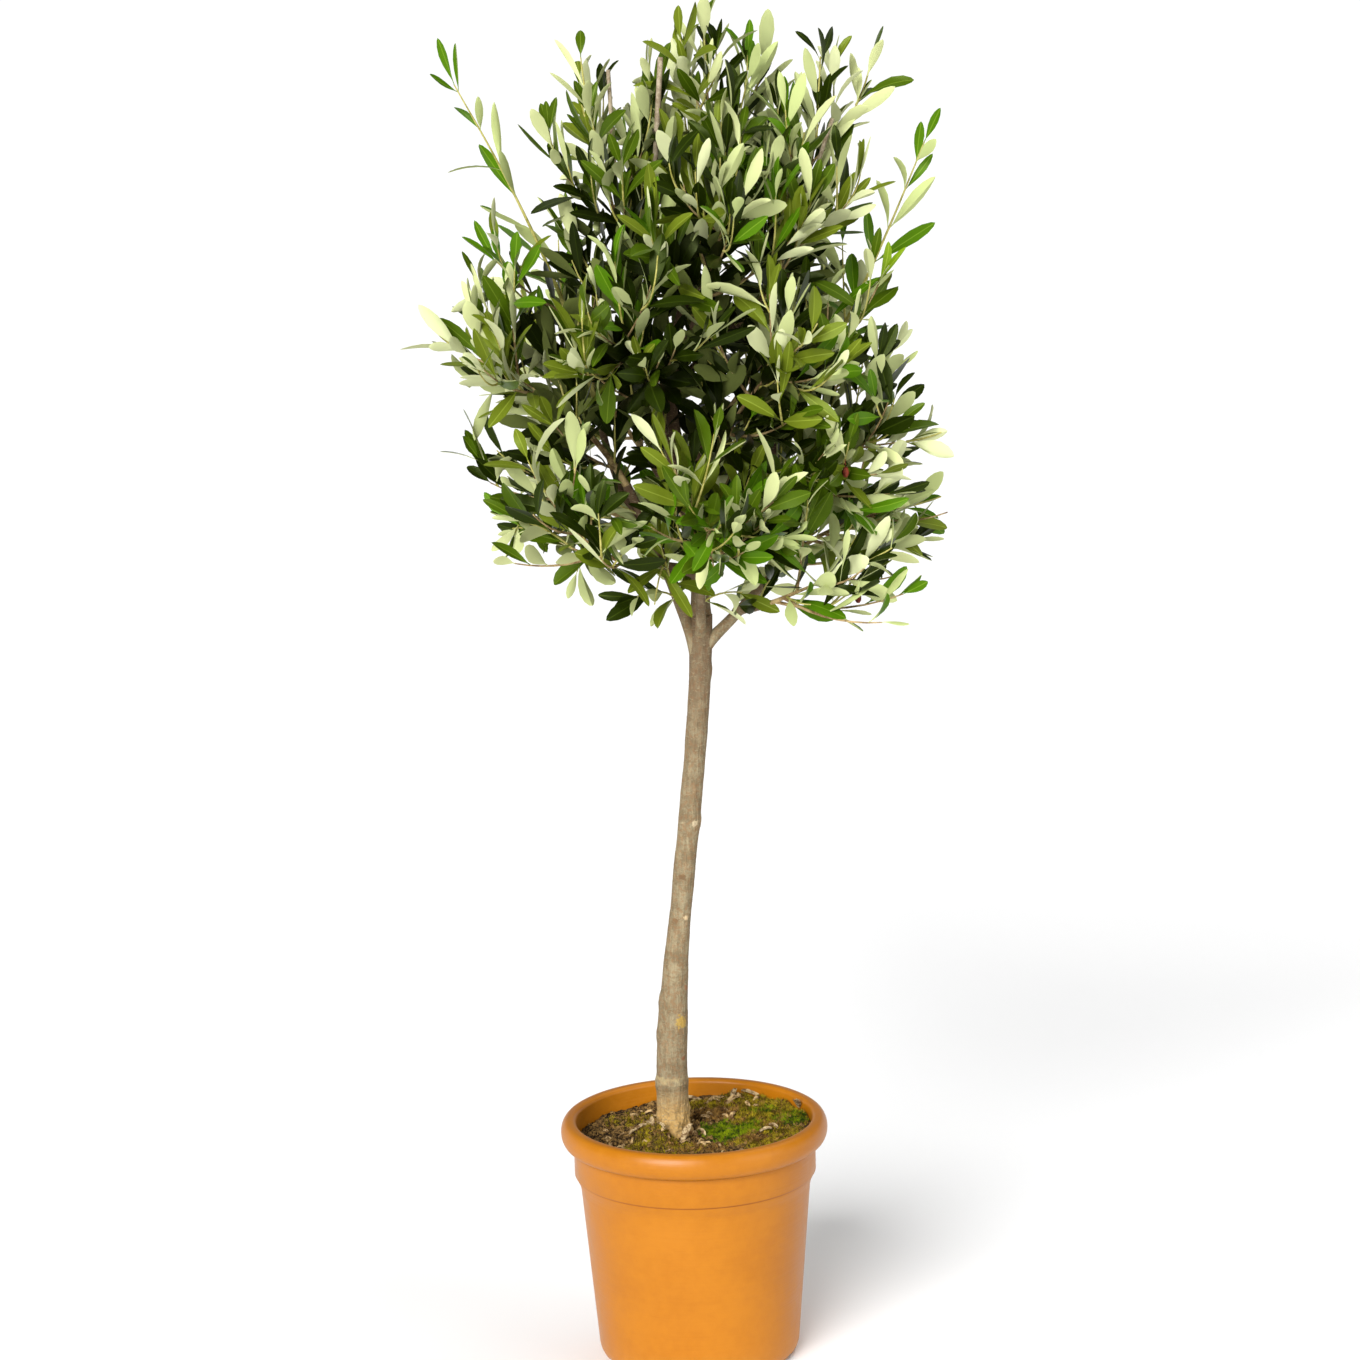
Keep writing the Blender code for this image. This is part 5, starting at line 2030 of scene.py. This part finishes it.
    def leaf(self, shoot: Shoot, share: float, turn: float, rule: random.Random) -> Iterator[Leaf]:
        """One leaf, or none where it is missing or would leave the crown's room.

        Args:
            shoot: what it grows on.
            share: how far along; at the tip it stands almost in line with the shoot.
            turn: the side that it grows on.
            rule: the seeded draws.

        Yields:
            The leaf.
        """
        habit = self.habit(shoot.mass)
        root, way = path_at(shoot.path, min(share, 0.999))
        out = sideways(way, turn) * (1.0 if share < 1.0 else 0.3)
        youth = smoothstep(share, 0.72, 1.0)
        spread = blend(*self.leaf_spread, smoothstep(root.z, *self.lift_heights))
        spread *= rule.uniform(0.6, 1.5) * blend(1.15, 0.62, share) * habit.spread
        length = self.leaf_length * rule.uniform(0.8, 1.18) * blend(1.0, 0.62, youth) * habit.leaf_scale
        width = self.leaf_width * habit.slimness * rule.uniform(0.78, 1.15) * blend(1.0, 0.66, youth)
        roll, fold = rule.gauss(0.0, 0.85), rule.uniform(-0.02, 0.52)
        curl, twist = rule.uniform(-0.35, 0.85), rule.gauss(0.0, 0.45)
        if rule.random() < self.missing:
            return
        room = max(habit.spray, self.space.stem_gap(root)) + self.leaf_slack + habit.twig_terminal * 0.4
        for fold_in, scale in ((1.0, 1.0), (0.5, 0.95), (1.5, 0.9)):
            along = (way * cos(spread * fold_in) + out * sin(spread * fold_in)).normalized()
            if all(self.space.holds(root + along * length * scale * part, room) for part in (0.55, 1.0)):
                break
        else:
            return
        inner = way - along * way.dot(along)
        outward = Vector((root.x - self.skeleton.crown_axis.x, root.y, 0.0)).normalized()
        normal = (inner.normalized() + UP * self.leaf_up + outward * self.leaf_outward).normalized()
        normal = (normal - along * normal.dot(along)).normalized()
        normal = Matrix.Rotation(roll, 3, along) @ normal
        # Painted shade: leaves deep inside the crown's ball take the darker SHADED tint.
        shaded = self.space.outness(root) + 0.2 * noise.noise(root * 50) < self.shade_reach
        tint = Tint.SHADED if shaded else shoot.tint
        yield Leaf(root, along, normal, length * scale, width, fold, curl, twist, tint)


@dataclass
class LeafMaker:
    """Builds joined leaves from one outline, each bent in its own way."""

    stations: tuple[Pair, ...] = (
        (0.0, 0.08), (0.11, 0.1), (0.26, 0.48), (0.45, 0.86),
        (0.65, 1.0), (0.83, 0.78), (0.95, 0.38), (1.0, 0.0),
    )
    rib_half_width: float = 0.00034
    thickness: float = 0.00042

    def faces(self) -> tuple[list[tuple[int, ...]], list[int]]:
        """The faces of one leaf and the slot of each.

        Returns:
            Faces as corner numbers, and slots by Surface.
        """
        top, rib, under = (surface.value for surface in Surface)
        ring = ((0, 1, top), (1, 2, rib), (2, 3, top), (3, 4, under), (4, 0, under))
        faces, slots = [], []
        row = len(ring)
        tip = (len(self.stations) - 1) * row
        for here in range(0, tip - row, row):
            for a, b, slot in ring:
                c, d = a + row, b + row
                # Above and below are split along the same line, so that neither shows through the other.
                halves = ((a, b, d), (a, d, c)) if a == 0 or b == 4 else ((a, b, c), (b, d, c))
                faces += [tuple(here + corner for corner in half) for half in halves]
                slots += [slot] * 2
        for a, b, slot in ring:
            faces.append((tip - row + a, tip - row + b, tip))
            slots.append(slot)
        return [*faces, (4, 3, 2, 1, 0)], [*slots, under]

    def points(self, leaves: Sequence[Leaf]) -> np.ndarray:
        """The corners of every leaf.

        Args:
            leaves: the leaves.

        Returns:
            An array of leaf, corner and coordinate.
        """
        names = ("root", "along", "normal", "length", "width", "fold", "curl", "twist")
        columns = [np.array([getattr(leaf, name) for leaf in leaves]) for name in names]
        root, along, normal, length, width, fold, curl, twist = (c.reshape(len(leaves), -1) for c in columns)
        across = np.cross(along, normal)
        curl = np.where(np.abs(curl) < 0.02, 0.02, curl)
        corners = []
        for share, half_share in self.stations:
            tilt, turn = curl * share, twist * share
            centre = root + along * (np.sin(tilt) / curl * length)
            centre = centre - normal * ((1 - np.cos(tilt)) / curl * length)
            if half_share == 0.0:
                corners.append(centre)
                continue
            half = half_share * width / 2
            up = normal * np.cos(tilt) + along * np.sin(tilt)
            side = across * np.cos(turn) + up * np.sin(turn)
            face = up * np.cos(turn) - across * np.sin(turn)
            lift = face * (half * np.tan(fold))
            edge, rib = side * half, side * np.minimum(self.rib_half_width, half * 0.5)
            corners += [centre - edge + lift, centre - rib, centre + rib, centre + edge + lift]
            corners.append(centre - face * (self.thickness + half * 0.04))
        return np.stack(corners, axis=1)

    def build(self, name: str, leaves: Sequence[Leaf], materials: Sequence[Material]) -> Object:
        """One piece of joined leaves.

        Args:
            name: its name.
            leaves: the leaves in it.
            materials: in the order of Surface.

        Returns:
            The piece.
        """
        points = self.points(leaves)
        faces, slots = self.faces()
        starts = range(0, points.shape[0] * points.shape[1], points.shape[1])
        every = [tuple(start + corner for corner in face) for start in starts for face in faces]
        mesh = bpy.data.meshes.new(name)
        mesh.from_pydata(points.reshape(-1, 3), [], every)
        mesh.polygons.foreach_set("material_index", slots * len(leaves))
        mesh.shade_smooth()
        mesh.set_sharp_from_angle(angle=radians(60))
        return add_object(name, mesh, *materials)


@dataclass
class ShootMaker:
    """Builds shoots as tapering tubes by Geometry Nodes."""

    sides: int = 7

    def build(self, name: str, shoots: Iterable[Shoot], material: Material) -> Object:
        """One piece of joined shoots.

        Args:
            name: its name.
            shoots: the shoots in it.
            material: their bark.

        Returns:
            The piece.
        """
        points, edges, radii = [], [], []
        for shoot in shoots:
            first, count = len(points), len(shoot.path)
            points += [tuple(point) for point in shoot.path]
            edges += [(first + k, first + k + 1) for k in range(count - 1)]
            radii += [blend(shoot.root_radius, shoot.tip_radius, share**0.8) for share in shares_of(count)]
        mesh = bpy.data.meshes.new(name)
        mesh.from_pydata(points, edges, [])
        mesh.attributes.new("thickness", "FLOAT", "POINT").data.foreach_set("value", radii)
        return run_tree(add_object(name, mesh), self.tree(), {"Sides": self.sides, "Bark": material})

    @staticmethod
    @cache
    def tree() -> NodeTree:
        """The Geometry Nodes tree that turns polylines into tubes.

        Returns:
            The tree.
        """
        inputs = {"Geometry": "Geometry", "Sides": 6, "Bark": "Material"}
        graph, given = new_group("tapered_tubes", "GeometryNodeTree", inputs, "Geometry")
        lines = graph.add("GeometryNodeMeshToCurve", {0: given["Geometry"]})[0]
        radius = graph.add("GeometryNodeInputNamedAttribute", {"Name": "thickness"}, data_type="FLOAT")
        section = graph.add("GeometryNodeCurvePrimitiveCircle", {"Resolution": given["Sides"], "Radius": 1.0})
        swept = {"Curve": lines, "Profile Curve": section[0], "Scale": radius[0], "Fill Caps": True}
        tubes = graph.add("GeometryNodeCurveToMesh", swept)[0]
        soft = graph.add("GeometryNodeSetShadeSmooth", {0: tubes})[0]
        real = graph.add("GeometryNodeRealizeInstances", {0: soft})[0]
        dressed = graph.add("GeometryNodeSetMaterial", {0: real, "Material": given["Bark"]})[0]
        graph.add("NodeGroupOutput", {0: dressed})
        return graph.tree


@dataclass
class Fruit:
    """A few withered olives, each hanging from the shoot nearest its place."""

    places: tuple[Vector, ...] = (
        Vector((0.143, -0.09, 0.7)),
        Vector((0.139, -0.07, 0.614)),
        Vector((-0.11, 0.04, 0.69)),
    )
    length: float = 0.0082
    width: float = 0.0052
    stalk: float = 0.006

    def build(self, shoots: Sequence[Shoot]) -> Object:
        """The fruit as one piece.

        Args:
            shoots: what they may hang from.

        Returns:
            The piece.
        """
        shape = bmesh.new()
        spots = [point for shoot in shoots for point in shoot.path[2:]]
        size = Vector((self.width, self.width, self.length)) / 2
        ends = {"radius1": 0.0005, "radius2": 0.0004, "depth": self.stalk}
        for place in self.places:
            foot = min(spots, key=lambda spot: (spot - place).length)
            for vert in bmesh.ops.create_icosphere(shape, subdivisions=3, radius=1.0)["verts"]:
                x, y, z = vert.co
                wrinkle = 1.0 + 0.16 * noise.noise(Vector((x * 3, y * 3, z * 0.8)) + place * 50)
                middle = foot - UP * (self.stalk + self.length / 2)
                vert.co = middle + Vector(a * b for a, b in zip(vert.co, size)) * wrinkle
            for vert in bmesh.ops.create_cone(shape, cap_ends=True, segments=6, **ends)["verts"]:
                vert.co += foot - UP * (self.stalk / 2)
        finish = EarthFinish("withered_fruit", (62, 20, 12), (128, 54, 36), 300.0, 900.0, 0.1, 0.6)
        fruit = add_object("withered_fruit", mesh_of(shape, "withered_fruit"), finish.build())
        fruit.data.shade_smooth()
        return fruit


@dataclass
class Crown:
    """The crown: woody twigs, green shoots, leaves of six tints and withered fruit."""

    growth: Growth
    barks: dict[Age, EarthFinish] = field(default_factory=lambda: {
        Age.WOODY: EarthFinish("twig_bark", (112, 90, 58), (184, 160, 112), 120.0, 900.0, 0.12, 0.85, 0.0003),
        Age.GREEN: EarthFinish("shoot_bark", (138, 134, 60), (190, 182, 106), 120.0, 900.0, 0.12, 0.7, 0.0002),
        Age.CUT: EarthFinish("cut_bark", (128, 112, 90), (176, 162, 138), 160.0, 900.0, 0.12, 0.9, 0.0003),
    })

    def build(self) -> None:
        """Every piece of the crown, each standing for all the masses of foliage."""
        shoots, leaves = self.growth.grow()
        masses = [mass.node for mass in MASSES]
        for age, finish in self.barks.items():
            ones = [shoot for shoot in shoots if shoot.age is age]
            set_down(ShootMaker().build(age.value, ones, finish.build()), "bark", *masses)
        for tint in Tint:
            ones = [leaf for leaf in leaves if leaf.tint is tint]
            piece = LeafMaker().build(f"leaves_{tint.value.name}", ones, tint.value.build())
            set_down(piece, "foliage", *masses)
        hangers = [shoot for shoot in shoots if shoot.age is Age.GREEN]
        set_down(Fruit().build(hangers), "foliage", *masses)
        LOG.info("%d shoots and %d leaves", len(shoots), len(leaves))


# --- studio ---


@dataclass
class Studio:
    """A pale floor, soft light and the camera."""

    floor_radius: float = 60.0
    floor_colour: Colour = (251, 251, 251)
    sky: float = 0.16
    horizon: float = 1.05
    suns: tuple[tuple, ...] = (
        ((-0.85, -1.95, 1.05), 4.7, 36.0),
        ((1.7, -1.1, 0.8), 0.9, 40.0),
        ((0.3, 0.3, 1.0), 0.7, 50.0),
    )
    camera_place: tuple[float, float, float] = (-0.0018, -2.5, 0.998)
    camera_pitch: float = -10.35
    camera_roll: float = -1.53
    lens: float = 87.5

    def build(self) -> None:
        """Puts the floor, the lights and the camera in place."""
        self.build_floor()
        self.build_sky()
        self.build_suns()
        self.build_camera()
        bpy.context.scene.view_settings.view_transform = "Standard"

    def build_floor(self) -> None:
        """A wide round floor under the pot."""
        shape = bmesh.new()
        bmesh.ops.create_circle(shape, cap_ends=True, radius=self.floor_radius, segments=96)
        coat = Coat("floor")
        coat.feed(coat.shader, {"Base Color": self.floor_colour, "Roughness": 0.9})
        add_object("floor", mesh_of(shape, "floor"), coat.material)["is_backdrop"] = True

    def build_sky(self) -> None:
        """A pale light from all round, brightest in a ring just above the floor."""
        world = bpy.data.worlds.new("studio")
        world.use_nodes = True
        graph = Graph(world.node_tree)
        way = graph.add("ShaderNodeSeparateXYZ", {0: graph.add("ShaderNodeTexCoord")["Generated"]})
        strength = graph.ramp(way["Z"], 0.1, 0.24, self.horizon, self.sky)
        graph.feed(world.node_tree.nodes["Background"], {"Color": (255, 255, 255), "Strength": strength})
        bpy.context.scene.world = world

    def build_suns(self) -> None:
        """Soft lights that fall alike over plant and floor: each one's source, strength and size."""
        for source, strength, size in self.suns:
            data = bpy.data.lights.new("sun", "SUN")
            data.energy, data.angle = strength, radians(size)
            add_object("sun", data).rotation_euler = (-Vector(source)).to_track_quat("-Z", "Y").to_euler()

    def build_camera(self) -> None:
        """The camera, level with the crown and looking a little down."""
        data = bpy.data.cameras.new("camera")
        data.lens = self.lens
        camera = add_object("camera", data)
        pitch = Matrix.Rotation(radians(90 + self.camera_pitch), 4, "X")
        roll = Matrix.Rotation(radians(self.camera_roll), 4, "Z")
        camera.matrix_world = Matrix.Translation(self.camera_place) @ pitch @ roll
        bpy.context.scene.camera = camera


def box_of_everything() -> list[list[float]]:
    """The whole object's box, as plain lists of its lowest and highest corner."""
    low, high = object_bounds()
    return [[float(value) for value in corner] for corner in (low, high)]


def main() -> None:
    """Builds the plant round the frame, piece by piece, and measures its box before and after."""
    logging.basicConfig(level=logging.INFO, format="%(name)s: %(message)s")
    cad_box = box_of_everything()
    Studio().build()
    skeleton = Skeleton()
    pot = Pot()
    pot.build(PlasticFinish())
    Compost(pot, skeleton.trunk_foot).build()
    bark = Bark(skeleton)
    bark.build_trunk()
    bark.build_boughs()
    Crown(Growth(skeleton, Space(skeleton))).build()
    json.dumps({"cad": cad_box, "visual": box_of_everything()})


if __name__ == "__main__":
    main()
